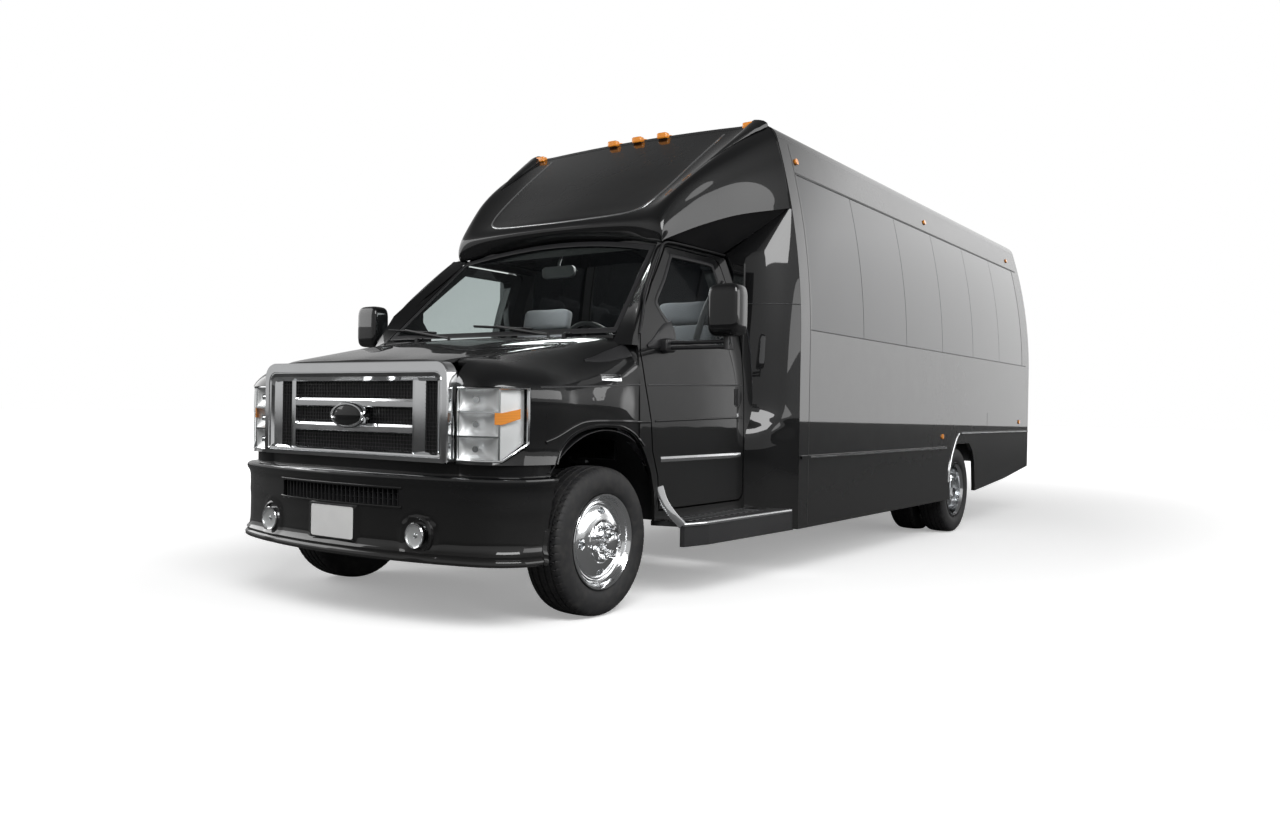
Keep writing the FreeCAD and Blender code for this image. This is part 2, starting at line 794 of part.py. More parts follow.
def hood():
    """Hood panel with a raised middle and a turned-down front edge."""
    def section(y, edge, zEdge, zMiddle, drop):
        half = [(edge, zEdge - drop), (edge * 0.72, zEdge + (zMiddle - zEdge) * 0.62),
                (edge * 0.36, zMiddle - 4)]
        points = half + [(0, zMiddle)] + [(-x, z) for x, z in reversed(half)]
        return ribbon(points, skin, atY(y), True)
    panel = loft([
        section(hood_rear, 841, 1384, 1404, 0),
        section(0, 784, 1342, 1382, 0),
        section(-300, 680, 1294, 1336, 0),
        section(-500, 638, 1262, 1290, 0),
        section(-620, 598, 1242, 1260, 0),
        section(hood_front, 566, 1226, 1238, 0),
    ])
    barrels = []
    for x in (-hood_hinge_x, hood_hinge_x):
        axis = Vec(x - 15, hood_hinge_y, hood_hinge_z)
        barrels.append(Part.makeCylinder(7, 30, axis, Vec(1, 0, 0)))
        barrels.append(box(x - 12, 180, 1384, x + 12, hood_hinge_y, hood_hinge_z + 2))
    feature("hood", panel.multiFuse(barrels))


hood_hinge_x = size("hood_hinge_x", 560)
hood_hinge_y = size("hood_hinge_y", 209)
hood_hinge_z = size("hood_hinge_z", 1411)


def hoodEars():
    """The lugs on the cowl either side of each hood hinge barrel."""
    ears = []
    for x in (-hood_hinge_x, hood_hinge_x):
        for near in (x - 24 - seat_gap, x + 15 + seat_gap):
            ears.append(Part.makeCylinder(7, 9, Vec(near, hood_hinge_y, hood_hinge_z), Vec(1, 0, 0)))
            ears.append(box(near, hood_hinge_y, 1390, near + 9, 224, hood_hinge_z + 5))
    return ears


grille_half = size("grille_half", 666)


def grille():
    """Broad surround with slots behind it, parted by bars."""
    frame = box(-grille_half, -757, 760, grille_half, -700, 1222)
    frame = frame.makeFillet(70, [e for e in frame.Edges if isUpperCorner(e)])
    slots = []
    for side in (1, -1):
        slot = box(455, -800, 812, 585, -650, 1126)
        slots.append(sided(slot, side))
    for low, high in ((812, 886), (926, 1006), (1046, 1126)):
        slots.append(box(-430, -800, low, 430, -650, high))
    backing = box(-650, -700, 770, 650, -666, 1192)
    mesh = []
    for i in range(9):
        z = 826 + i * 36
        mesh.append(box(-600, -712, z, 600, -699, z + 6))
    emblem = Part.makeCylinder(62, 30, Vec(0, -776, 966), Vec(0, 1, 0))
    stretch = FreeCAD.Matrix()
    stretch.A11 = 1.9
    emblem = emblem.transformGeometry(stretch)
    cut = slots[0].multiFuse(slots[1:])
    shape = frame.cut(cut).multiFuse(mesh + [emblem])
    feature("grille", shape.fuse(backing).removeSplitter())


def isUpperCorner(edge):
    """Edges along the vehicle at the top of the grille surround."""
    a = edge.Vertexes[0]
    b = edge.Vertexes[1]
    return abs(a.Y - b.Y) > 1 and a.Z > 1000


def bumperPlan(grow):
    """Plan of the bumper's front: bowed in the middle and wrapped to the wheel arches."""
    g = grow
    front = Part.Arc(Vec(-905, -690 - g, 0), Vec(0, -842 - g, 0), Vec(905, -690 - g, 0)).toShape()
    right = Part.makeLine(Vec(905, -690 - g, 0), Vec(1000 + g, -470, 0))
    left = Part.makeLine(Vec(-1000 - g, -470, 0), Vec(-905, -690 - g, 0))
    close = Part.makeLine(Vec(1000 + g, -470, 0), Vec(-1000 - g, -470, 0))
    return Part.Face(Part.Wire([front, right, close, left]))


def frontBumper():
    """Wrap-round cover with a lower lip, a slot, a plate recess and lamp pockets."""
    main = bumperPlan(0).extrude(Vec(0, 0, 700 - 340))
    main.translate(Vec(0, 0, 345))
    hollow = bumperPlan(-60).extrude(Vec(0, 0, 800))
    hollow.translate(Vec(0, 60, 0))
    lip = bumperPlan(26).extrude(Vec(0, 0, 34))
    lip.translate(Vec(0, 0, 312))
    ledge = bumperPlan(16).extrude(Vec(0, 0, 40))
    ledge.translate(Vec(0, 0, 668))
    shape = main.multiFuse([lip, ledge]).cut(hollow)
    slot = box(-430, -1000, 556, 430, -760, 640)
    pocket = Part.makeCylinder(72, 300, Vec(531, -1000, 434), Vec(0, 1, 0))
    shape = shape.cut(slot.multiFuse([pocket, mirrored(pocket)]))
    pad = box(-plate_half, plate_face, plate_z - plate_rise, plate_half, plate_face + 70, plate_z + plate_rise)
    arm = box(rail_x + 10, -770, 520, rail_x + 54, -640 - seat_gap, 600)
    shape = shape.multiFuse([pad, arm, mirrored(arm)]).cut(boltHoles(plate_face, plate_z, 90))
    feature("front_bumper", shape.removeSplitter())


plate_face = size("plate_face", -848)
plate_half = size("plate_half", 156)
plate_rise = size("plate_rise", 80)
plate_z = size("plate_z", 462)
plate_bolt_x = size("plate_bolt_x", 177.8)
plate_bolt_z = size("plate_bolt_z", 120.65)
plate_hole = size("plate_hole", 3.5)


def boltHoles(y, z, depth):
    """The four holes of a number plate, as pins along the vehicle."""
    pins = []
    for x in (-plate_bolt_x / 2, plate_bolt_x / 2):
        for up in (-plate_bolt_z / 2, plate_bolt_z / 2):
            pins.append(Part.makeCylinder(plate_hole, depth, Vec(x, y - 5, z + up), Vec(0, 1, 0)))
    return pins[0].multiFuse(pins[1:])


def fogLamps():
    """Round lamps in the bumper's pockets."""
    lamp = Part.makeCylinder(58, 70, Vec(531, -815, 434), Vec(0, 1, 0))
    rim = Part.makeCylinder(71.7, 22, Vec(531, -767, 434), Vec(0, 1, 0))
    feature("fog_lamps", pair(lamp.fuse(rim)))


def pillar():
    """Windshield pillar from the cowl to the roof header."""
    return loft([pillarSection(1345, 212, 278), pillarSection(1572, 334, 378),
                 pillarSection(1950, 706, 764)], True)


def screenEdge(z):
    """Half width of the screen and its distance behind the front axle at a height."""
    t = (z - screen_foot) / screen_rise
    return screen_half - screen_taper * t, screen_y + screen_run * t


screen_foot = size("screen_foot", 1404)
screen_rise = size("screen_rise", 540)
screen_half = size("screen_half", 866)
screen_taper = size("screen_taper", 124)
screen_y = size("screen_y", 232)
screen_run = size("screen_run", 534)


def pillarSection(z, front, back):
    """Pillar outline at a height, with a rebate that the screen's edge sits in."""
    half, y = screenEdge(z)
    side = cabSide(z) - 3
    seat = y + screen_thick + 0.3
    return wireOf([Vec(half + 3, y - 4, z), Vec(side, front, z), Vec(side, back, z),
                   Vec(half - 20, seat + 26, z), Vec(half - 20, seat, z), Vec(half + 3, seat, z)])


def cabRoof():
    """Roof sheet over the cab, low under the front cap."""
    edge = cabSide(1950)

    def section(y):
        points = [(edge, 1950), (edge - 50, 1976), (400, 1992), (0, 1998),
                  (-400, 1992), (50 - edge, 1976), (-edge, 1950)]
        return ribbon(points, skin, atY(y))
    return loft([section(820), section(cab_back)])


def cabShell():
    """Wings, cowl, pillars, roof, sills, floor and firewall of the cab as one welded shell."""
    wing = fender()
    parts = [wing, mirrored(wing), cabRoof()]
    side = cabSideWall(door_bottom - 60, 1955, 0, skin, door_front - 22, cab_back)
    side = side.fuse(cabSideWall(door_bottom - 60, 1955, 0, 44, 470, cab_back))
    side = side.cut(doorPrism(door_gap)).cut(archPrism())
    slope = prism([Vec(600, 200, 1345), Vec(600, 270, 1345), Vec(600, 292, 1415), Vec(600, 378, 1580),
                   Vec(600, 762, 1956), Vec(600, 200, 1980)], Vec(600, 0, 0))
    side = side.cut(slope)
    post = pillar()
    parts += [side, mirrored(side), post, mirrored(post)]
    top = cab_floor_top
    half = cab_half - door_thick - door_gap
    foot = door_bottom - 60
    floor = box(-half, 300, top - 20, half, cab_back, top)
    for face in (1, -1):
        rocker = box(half - 20, 300, foot, half, cab_back, top)
        sill = box(half - 20, 300, foot, cab_half - 20, cab_back, foot + 20)
        jamb = box(half - 20, door_rear + door_gap, foot, cab_half - 20, door_rear + door_gap + 20, 1900)
        floor = floor.multiFuse([sided(p, face) for p in (rocker, sill, jamb)])
    arches = wheelCut(0, arch_radius, 560, 1300)
    floor = floor.cut(arches.fuse(mirrored(arches)))
    tunnel = box(-300, 262, top - 20, 300, 720, 1160)
    inside = box(-282, 200, 500, 282, 702, 1142)
    swing = wheelCut(0, 460, 560, 1300)
    firewall = box(-860, 240, top - 20, 860, 262, 1384).cut(swing.fuse(mirrored(swing)))
    header = box(-740, 800, 1938, 740, 840, 1990)
    pads = [box(rail_x, 300, 680 + seat_gap, rail_x + rail_width, 400, top),
            box(rail_x, 1370, rail_bottom + rail_height + seat_gap, rail_x + rail_width, 1440, top)]
    pads += [mirrored(p) for p in pads] + hoodEars()
    cowl = box(-862, 212, 1345, 862, 262, 1398)
    outer = parts + [floor, tunnel, firewall, cowl, header] + pads
    shell = outer[0].multiFuse(outer[1:]).cut(inside)
    leaf = doorSpace()
    shell = shell.cut(leaf.fuse(mirrored(leaf)))
    ears = doorEars()
    feature("cab_shell", shell.multiFuse(ears + [mirrored(e) for e in ears]))


def doorSpace():
    """The room a cab door and its gap take in the shell."""
    depth = door_thick + door_gap
    band = cabSideWall(door_bottom - 60, door_top + 60, -6, depth + 6, door_front - 80, door_rear + 60)
    return band.common(doorPrism(door_gap))


def windshield():
    """Raked screen, bowed forward a little in the middle."""
    def section(t):
        z = screen_foot + screen_rise * t
        half, y = screenEdge(z)
        middle = y - screen_bow * t
        back = y + screen_thick
        face = Part.Arc(Vec(-half, y, z), Vec(0, middle, z), Vec(half, y, z)).toShape()
        rear = Part.Arc(Vec(half, back, z), Vec(0, middle + screen_thick, z), Vec(-half, back, z)).toShape()
        ends = [Part.makeLine(Vec(half, y, z), Vec(half, back, z)),
                Part.makeLine(Vec(-half, back, z), Vec(-half, y, z))]
        return Part.Wire([face, ends[0], rear, ends[1]])
    pane = loft([section(0.02), section(0.985)], True)
    feature("windshield", pane)


def dashboard():
    """Dash top, face and column cover behind the screen."""
    outline = [Vec(-840, 262 + seat_gap, 1180), Vec(-840, 262 + seat_gap, 1370), Vec(-840, 520, 1330), Vec(-840, 600, 1240),
               Vec(-840, 560, 1000), Vec(-840, 420, 960)]
    dash = prism(outline, Vec(1680, 0, 0))
    dash = dash.cut(box(-305, 200, 900, 305, 725, 1165))
    centre, axis = columnFrame()
    socket = centre - axis * 100.3
    column = Part.makeCylinder(38, 150, socket, axis * -1)
    dash = dash.cut(Part.makeCylinder(24, 150, socket, axis)).fuse(column)
    feature("dashboard", dash)


wheel_tilt = size("wheel_tilt", 62)


def columnFrame():
    """Hub centre and axis of the steering wheel, the axis pointing at the driver."""
    a = math.radians(wheel_tilt)
    return Vec(430, 620, 1330), Vec(0, math.sin(a), math.cos(a))


def steeringWheel():
    """Rim, three spokes and hub on a short shaft."""
    centre, axis = columnFrame()
    corners = [(177, 0), (183, 11), (197, 11), (203, 0), (197, -11), (183, -11)]
    section = Part.Face(wireOf([Vec(r, 0, z) for r, z in corners]))
    rim = section.revolve(Vec(0, 0, 0), Vec(0, 0, 1), 360)
    hub = Part.makeCylinder(55, 40, Vec(0, 0, -40))
    spokes = []
    for angle in (90, 210, 330):
        spoke = box(40, -14, -22, 186, 14, -6)
        spoke.rotate(Vec(0, 0, 0), Vec(0, 0, 1), angle)
        spokes.append(spoke)
    shape = rim.multiFuse([hub] + spokes)
    shape = shape.fuse(Part.makeCylinder(16, 60, Vec(0, 0, -100)))
    turn = FreeCAD.Rotation(Vec(0, 0, 1), axis)
    shape.Placement = FreeCAD.Placement(centre, turn)
    feature("steering_wheel", Part.Compound([shape]))


def seatShape(width, depth, height, thick, lean, legInner, legOuter):
    """Seat pad, reclined back and pedestal as one solid, facing -Y; the aisle is on the -X side."""
    pad = box(-width / 2, 0, 300, width / 2, depth, 300 + thick)
    back = prism([Vec(-width / 2, depth - 30, 300), Vec(-width / 2, depth + 80, 300),
                  Vec(-width / 2, depth + lean, height), Vec(-width / 2, depth + lean - 80, height)],
                 Vec(width, 0, 0))
    base = box(-width / 2 + legOuter, 60, 0, width / 2 - legInner, depth - 40, 301)
    return pad.multiFuse([back, base])


def cabSeats():
    seat = seatShape(500, 470, 980, 130, 190, 150, 60)
    seat.translate(Vec(560, 745, cab_floor_top + 0.3))
    feature("cab_seats", pair(seat))


seat_pitch = size("seat_pitch", 800)


def passengerSeats():
    """Rows of double seats on both sides of the aisle."""
    seats = []
    for side in (1, -1):
        rows = 6 if side > 0 else 5
        start = 1900 if side > 0 else 2780
        for i in range(rows):
            seat = sided(seatShape(880, 440, 1040, 120, 230, 560, 60), side)
            seat.translate(Vec(side * 700, start + i * seat_pitch, floor_top + 0.3))
            seats.append(seat)
    feature("passenger_seats", Part.Compound(seats))


def wipers():
    """Two arms with blades, parked along the foot of the screen."""
    arms = []
    for x in (-330, 420):
        foot = Vec(x, 220, 1412)
        tip = Vec(x - 430, 280, 1476)
        arm = tube([foot, tip], 8)
        pivot = Part.makeCylinder(9, 24, Vec(x, 222, 1398.3))
        arms.append(arm.fuse(pivot))
    feature("wipers", Part.Compound(arms))


def runningBoards():
    """Tread board under each door with a riser at its front end."""
    board = prism([
        Vec(960, 470, 405), Vec(1120, 520, 405), Vec(1160, 700, 405),
        Vec(1200, body_front - 20, 405), Vec(940, body_front - 20, 405), Vec(940, 470, 405),
    ], Vec(0, 0, 26))
    skirt = prism([
        Vec(1098, 510, 300), Vec(1120, 520, 300), Vec(1160, 700, 300), Vec(1200, body_front - 20, 300),
        Vec(1180, body_front - 20, 300), Vec(1140, 700, 300),
    ], Vec(0, 0, 106))
    arms = []
    rail = rail_x + rail_width + seat_gap
    for y in (900, 1400):
        arms += [box(rail, y, 405, 960, y + 40, 425), box(rail, y, 405, rail + 16, y + 40, 540)]
    feature("running_boards", pair(board.multiFuse([skirt] + arms)))


# Body


def bodyHalf(z, inset=0):
    """Half width of the body at a height: upright to side_straight, then a long arc."""
    rise = max(z - side_straight, 0)
    return body_half - side_radius + math.sqrt((side_radius - inset) ** 2 - rise ** 2)


def bodySection(inset, z0, z1):
    """Outline of a side wall inset from the outer face: straight foot and arc."""
    r = side_radius - inset
    centre = Vec(body_half - side_radius, 0, side_straight)

    def arcPoint(z):
        return Vec(centre.x + math.sqrt(r * r - (z - side_straight) ** 2), 0, z)
    foot = Vec(body_half - inset, 0, z0)
    knee = Vec(body_half - inset, 0, side_straight)
    mid = arcPoint((side_straight + z1) / 2)
    return foot, knee, mid, arcPoint(z1)


def bodySheet(inset, thickness, z0, z1, y0, y1):
    """A slice of body side of the thickness asked, from y0 to y1."""
    a, b, c, d = bodySection(inset, z0, z1)
    e, f, g, k = bodySection(inset + thickness, z0, z1)
    edges = [Part.makeLine(a, b), Part.Arc(b, c, d).toShape(), Part.makeLine(d, k),
             Part.Arc(k, g, f).toShape(), Part.makeLine(f, e), Part.makeLine(e, a)]
    face = Part.Face(Part.Wire(edges))
    shape = face.extrude(Vec(0, y1 - y0, 0))
    shape.translate(Vec(0, y0, 0))
    return shape


def arcSheet(inset, thickness, z0, z1, y0, y1):
    """A slice wholly inside the leaning part of the side."""
    _, _, _, top = bodySection(inset, z0, z1)
    _, _, _, low = bodySection(inset, z0, z0)
    _, _, _, mid = bodySection(inset, z0, (z0 + z1) / 2)
    _, _, _, topIn = bodySection(inset + thickness, z0, z1)
    _, _, _, lowIn = bodySection(inset + thickness, z0, z0)
    _, _, _, midIn = bodySection(inset + thickness, z0, (z0 + z1) / 2)
    edges = [Part.Arc(low, mid, top).toShape(), Part.makeLine(top, topIn),
             Part.Arc(topIn, midIn, lowIn).toShape(), Part.makeLine(lowIn, low)]
    shape = Part.Face(Part.Wire(edges)).extrude(Vec(0, y1 - y0, 0))
    shape.translate(Vec(0, y0, 0))
    return shape


def windowSpans(side):
    """Start and end of each pane along the side."""
    spans = []
    for i in range(int(window_count)):
        start = window_start + window_pitch * i
        if side > 0 or i > 0:
            spans.append((start, start + window_pitch))
    return spans


def skirtCut():
    """Material below the skirt line behind the rear wheel."""
    return prism([
        Vec(1000, wheelbase + 340, 200), Vec(1000, wheelbase + 340, 330), Vec(1000, 5220, 336),
        Vec(1000, 6203, 406), Vec(1000, body_rear + 50, 500), Vec(1000, body_rear + 50, 200),
    ], Vec(400, 0, 0))


def rearArch():
    """Opening over the rear wheels, flat-topped with large corners."""
    y = wheelbase
    return prism([
        Vec(900, y - 300, 200), Vec(900, y - 282, 560), Vec(900, y - 225, 690), Vec(900, y - 140, 768),
        Vec(900, y + 225, 768), Vec(900, y + 330, 700), Vec(900, y + 388, 600), Vec(900, y + 418, 380),
        Vec(900, y + 420, 200),
    ], Vec(500, 0, 0))


def bodySide(label, side):
    """One side wall with its window openings, rub rail and wheel opening."""
    wall = bodySheet(0, body_wall, skirt_bottom, eave_z, body_front, body_rear)
    for start, end in windowSpans(side):
        hole = roundedPrism(start + 26, window_bottom + 26, end - 26, window_top - 26, 40, 900, 1400)
        wall = wall.cut(hole)
    first = windowSpans(side)[0][0]
    last = windowSpans(side)[-1][1]
    rebate = arcSheet(-2, glass_recess + 2, window_bottom, window_top, first, last)
    wall = wall.cut(rebate)
    wall = wall.cut(rearArch()).cut(skirtCut())
    rails = [
        roundedPrism(body_front + 20, 730, wheelbase - 400, 751, 6, body_half - 1, body_half + 12),
        roundedPrism(wheelbase - 60, 849, body_rear - 40, 870, 6, body_half - 1, body_half + 12),
    ]
    wall = wall.multiFuse(rails)
    if side < 0:
        wall = wall.cut(entryBlock(door_gap)).multiFuse(entryEars())
    feature(label, sided(wall, side))


def entryBlock(grow):
    """The entry doorway in the side view, as a block across the wall."""
    g = grow
    return box(900, entry_start - g, skirt_bottom - g, 1400,
               entry_start + entry_width + g, entry_top + g)


entry_hinge_y = size("entry_hinge_y", 1825)


def entryHinges():
    """Foot height of each entry door hinge."""
    return 500, 920, 1360


def entryEars():
    """Lugs on the right side wall above and below each entry hinge barrel."""
    ears = []
    for z in entryHinges():
        for low in (z - 12 - seat_gap, z + 30 + seat_gap):
            ears.append(Part.makeCylinder(7, 12, Vec(body_half + 7.5, entry_hinge_y, low)))
            ears.append(box(body_half - 2, entry_hinge_y - 50, low, body_half + 8, entry_hinge_y, low + 12))
    return ears


def entryWindow(grow):
    g = grow
    return roundedPrism(entry_start + 90 - g, 1010 - g, entry_start + entry_width - 90 + g,
                        entry_top - 110 + g, 60, 900, 1400)


def entryDoor():
    """Outward swinging entry door with a tall window."""
    leaf = bodySheet(0, body_wall, skirt_bottom, entry_top, entry_start, entry_start + entry_width - 4)
    leaf = leaf.cut(entryWindow(0))
    for z in entryHinges():
        leaf = leaf.fuse(Part.makeCylinder(7, 30, Vec(body_half + 7.5, entry_hinge_y, z)))
        leaf = leaf.fuse(box(body_half - 2, entry_hinge_y, z + 3, body_half + 8, entry_hinge_y + 50, z + 27))
    feature("entry_door", mirrored(leaf))
    pane = bodySheet(12, glass_thick, 900, entry_top - 40, entry_start, entry_start + entry_width)
    feature("entry_glass", mirrored(pane.common(entryWindow(-0.3))))


def bodyGlass():
    """The flush panes of both sides and the rear window."""
    panes = []
    for side in (1, -1):
        for start, end in windowSpans(side):
            pane = arcSheet(glass_recess - glass_thick - seat_gap, glass_thick, window_bottom + 3, window_top - 3, start + 3, end - 3)
            panes.append(sided(pane, side))
    rear = box(-560, body_rear - 6, 1640, 560, body_rear - 1, 2400)
    panes.append(rear)
    feature("body_glass", Part.Compound(panes))


def roofCorner():
    """Centre of the roof's corner arc, and the crown's radius that meets it smoothly."""
    lean = math.asin((eave_z - side_straight) / side_radius)
    x = bodyHalf(eave_z) - corner_radius * math.cos(lean)
    z = eave_z - corner_radius * math.sin(lean)
    drop = roof_top - z
    crown = (x * x + drop * drop - corner_radius ** 2) / (2 * (drop - corner_radius))
    return x, z, lean, crown


corner_radius = size("corner_radius", 123)


def roofCurve(inset):
    """Five points and three arcs of the roof section, inset from its outer face."""
    x, z, lean, crown = roofCorner()
    r = corner_radius - inset
    base = roof_top - crown
    top = math.atan2(z - base, x)
    middle = (top + lean) / 2
    eave = Vec(x + r * math.cos(lean), body_front, z + r * math.sin(lean))
    bend = Vec(x + r * math.cos(middle), body_front, z + r * math.sin(middle))
    join = Vec(x + r * math.cos(top), body_front, z + r * math.sin(top))
    ridge = Vec(0, body_front, roof_top - inset)

    def flip(p):
        return Vec(-p.x, p.y, p.z)
    return [Part.Arc(eave, bend, join).toShape(), Part.Arc(join, ridge, flip(join)).toShape(),
            Part.Arc(flip(join), flip(bend), flip(eave)).toShape()], eave, flip(eave)


def roofHeight(x):
    """Height of the roof's outer face at a distance from the centre line."""
    crown = roofCorner()[3]
    return roof_top - crown + math.sqrt(crown ** 2 - x ** 2)


def roofSolid(thickness):
    """The roof's section along the whole body, of the thickness asked."""
    outer, left, right = roofCurve(0)
    inner, leftIn, rightIn = roofCurve(thickness)
    edges = outer + [Part.makeLine(right, rightIn)] + inner[::-1] + [Part.makeLine(leftIn, left)]
    wire = Part.Wire(Part.__sortEdges__(edges))
    return Part.Face(wire).extrude(Vec(0, body_rear - body_front, 0))


def roofPanel():
    """Crowned roof sheet over the body."""
    roof = roofSolid(body_wall)
    roof = roof.cut(box(-1300, body_front - 10, 2600, 1300, body_rear + 10, eave_z + 0.3))
    feature("roof_panel", roof)


def bodyOutline(inset, z0):
    """The whole body section inset from the outer face, closed across the bottom."""
    half = [(body_half - inset, z0), (body_half - inset, side_straight)]
    for z in (1700, 1950, 2200, 2450, eave_z):
        half.append((bodyHalf(z, inset) - 0.6, z))
    half += [(994, 2760), (950, 2784), (880, roofHeight(880) - 16), (0, roof_top - 16)]
    points = half + [(-x, z) for x, z in reversed(half[:-1])]
    return [Vec(x, 0, z) for x, z in points]


def rearWall():
    """Rear wall inside the side walls and the roof, with a window and a luggage doorway."""
    inset = body_wall + 0.3
    wall = prism(bodyOutline(inset, 620), Vec(0, 40, 0))
    wall.translate(Vec(0, body_rear - 40, 0))
    wall = wall.cut(roofSolid(inset))
    wall = wall.cut(box(-530, body_rear - 60, 1670, 530, body_rear + 10, 2370))
    wall = wall.cut(box(-560, body_rear - 6.3, 1640, 560, body_rear + 10, 2400))
    wall = wall.cut(luggageBlock(door_gap, -60, 60)).multiFuse(luggageEars())
    feature("rear_wall", wall)


def luggageBlock(grow, near, far):
    """The luggage doorway as a block through the rear wall."""
    g = grow
    return box(-980 - g, body_rear + near, 690 - g, 980 + g, body_rear + far, 1520 + g)


def luggageDoor(label, side):
    """One leaf of the side-hinged luggage doors, with its pull."""
    leaf = luggageBlock(0, -30, 0).common(box(door_gap / 2, 0, 0, 1300, 9000, 3000))
    parts = [box(60, body_rear - 1, 1060, 90, body_rear + 18, 1180)]
    for z in luggageHinges():
        parts.append(Part.makeCylinder(7, 30, Vec(985, body_rear + 7.5, z)))
        parts.append(box(935, body_rear - 2, z + 3, 985, body_rear + 8, z + 27))
    feature(label, sided(leaf.multiFuse(parts), side))


def luggageHinges():
    """Foot height of each luggage door hinge."""
    return 780, 1090, 1400


def luggageEars():
    """Lugs on the rear wall above and below each luggage hinge barrel."""
    ears = []
    for z in luggageHinges():
        for low in (z - 12 - seat_gap, z + 30 + seat_gap):
            ears.append(Part.makeCylinder(7, 12, Vec(985, body_rear + 7.5, low)))
            ears.append(box(985, body_rear - 2, low, 1020, body_rear + 8, low + 12))
    return ears + [mirrored(e) for e in ears]


def tailLamps():
    """Stacked round lamps at the rear corners and the high brake lamps."""
    lamps = []
    for z in (980, 1110, 1240):
        lamps.append(Part.makeCylinder(52, 20, Vec(1080, body_rear + 0.3, z), Vec(0, 1, 0)))
    lamps.append(box(1040, body_rear + 0.3, 2400, 1060, body_rear + 18, 2460))
    both = lamps + [mirrored(lamp) for lamp in lamps]
    feature("tail_lamps", Part.Compound(both))


def rearBumper():
    """Full-width step bumper."""
    outer = box(-1190, body_rear + 4, 520, 1190, wheelbase + rear_overhang, 680)
    outer = outer.makeFillet(60, [e for e in outer.Edges if isRearCorner(e)])
    bracket = box(420, body_rear - 90 + seat_gap, 560, 460, body_rear + 10, 612)
    eye = box(414, body_rear + 10, 430, 430, wheelbase + rear_overhang - 20, 540)
    hole = Part.makeCylinder(tow_hole, 40, Vec(400, body_rear + 60, 478), Vec(1, 0, 0))
    eye = eye.cut(hole)
    parts = [bracket, mirrored(bracket), eye, mirrored(eye)]
    feature("rear_bumper", outer.multiFuse(parts))


def isRearCorner(edge):
    a = edge.Vertexes[0]
    b = edge.Vertexes[1]
    return abs(a.Z - b.Z) > 1 and a.Y > body_rear + 40


def bodyFloor():
    """Floor deck with wheel boxes, a step well and the lower front bulkhead."""
    half = body_half - body_wall - 0.3
    deck = box(-half, body_front, floor_top - 40, half, body_rear - 40.3, floor_top)
    for side in (1, -1):
        well = box(650, wheelbase - 470, 600, 1186, wheelbase + 470, floor_top + 100)
        deck = deck.fuse(sided(well, side))
    for side in (1, -1):
        air = box(670, wheelbase - 450, 500, 1300, wheelbase + 450, floor_top + 80)
        deck = deck.cut(sided(air, side))
    y0 = entry_start - 14
    y1 = entry_start + entry_width + 14
    deck = deck.cut(box(-1300, y0 + 10, 200, -640, y1 - 10, 900))
    steps = []
    for i, (x, z) in enumerate(((-1180, 340), (-960, 493), (-800, 646))):
        steps.append(box(x, y0, z, x + 240, y1, z + 20))
    risers = [box(-960, y0, 340, -940, y1, 513), box(-800, y0, 493, -780, y1, 666),
              box(-640, y0, 646, -620, y1, floor_top)]
    cheeks = []
    for y in (y0, y1 - 16):
        cheek = prism([Vec(-1180, y, 340), Vec(-940, y, 340), Vec(-620, y, 646), Vec(-620, y, floor_top),
                       Vec(-1180, y, floor_top)], Vec(0, 16, 0))
        cheeks.append(cheek)
    sill = railPath(False)[3:]
    sill = [p + Vec(0, 0, seat_gap) for p in sill]
    rise = (rail_x, body_front + 40)
    low = [Vec(rise[0], rise[1], rail_bottom + rail_height + seat_gap)] + [p + Vec(rise[0], 0, 0) for p in sill]
    top = [Vec(rail_x, body_rear - 90, floor_top - 20), Vec(rail_x, body_front + 40, floor_top - 20)]
    beam = prism(low + top, Vec(rail_width, 0, 0))
    deck = deck.multiFuse(steps + risers + cheeks + [beam, mirrored(beam)])
    feature("body_floor", deck.removeSplitter())


def frontCap():
    """Sloping cap from the screen header up to the body roof."""
    def section(y, foot, footZ, shoulder, shoulderZ, top):
        half = [(foot, footZ), (foot - (foot - shoulder) * 0.35, footZ + (shoulderZ - footZ) * 0.62),
                (shoulder, shoulderZ), (shoulder * 0.55, top - (top - shoulderZ) * 0.22)]
        points = half + [(0, top)] + [(-x, z) for x, z in reversed(half)]
        return ribbon(points, 16, atY(y))
    cap = loft([
        section(768, 790, 1976, 712, 2016, 2052),
        section(940, 858, 2072, 770, 2180, 2232),
        section(1150, 938, 2146, 850, 2380, 2446),
        section(1400, 1036, 2212, 930, 2610, 2672),
        section(body_front - seat_gap, 1128, 2268, bodyHalf(eave_z) - 60, 2790, roof_top + 2),
    ])
    feature("front_cap", cap)


def fairings():
    """Curved panels that widen the cab to the body, with the bulkhead behind them."""
    def strip(z, near, far):
        start = Vec(near, cab_back + 6, z)
        middle = Vec((near + far) / 2 + 26, (cab_back + body_front) / 2 - 6, z)
        end = Vec(far, body_front - seat_gap, z)
        back = Vec(-18, 0, 0)
        outer = Part.Arc(start, middle, end).toShape()
        inner = Part.Arc(end + back, middle + back, start + back).toShape()
        return Part.Wire([outer, Part.makeLine(end, end + back), inner, Part.makeLine(start + back, start)])
    panel = loft([
        strip(432, cab_half - 2, body_half - 1), strip(1100, cab_half - 2, body_half - 1),
        strip(1500, cabSide(1500), bodyHalf(1500) - 1), strip(1960, cabSide(1960), bodyHalf(1960) - 1),
    ], True)
    feature("fairings", pair(panel))


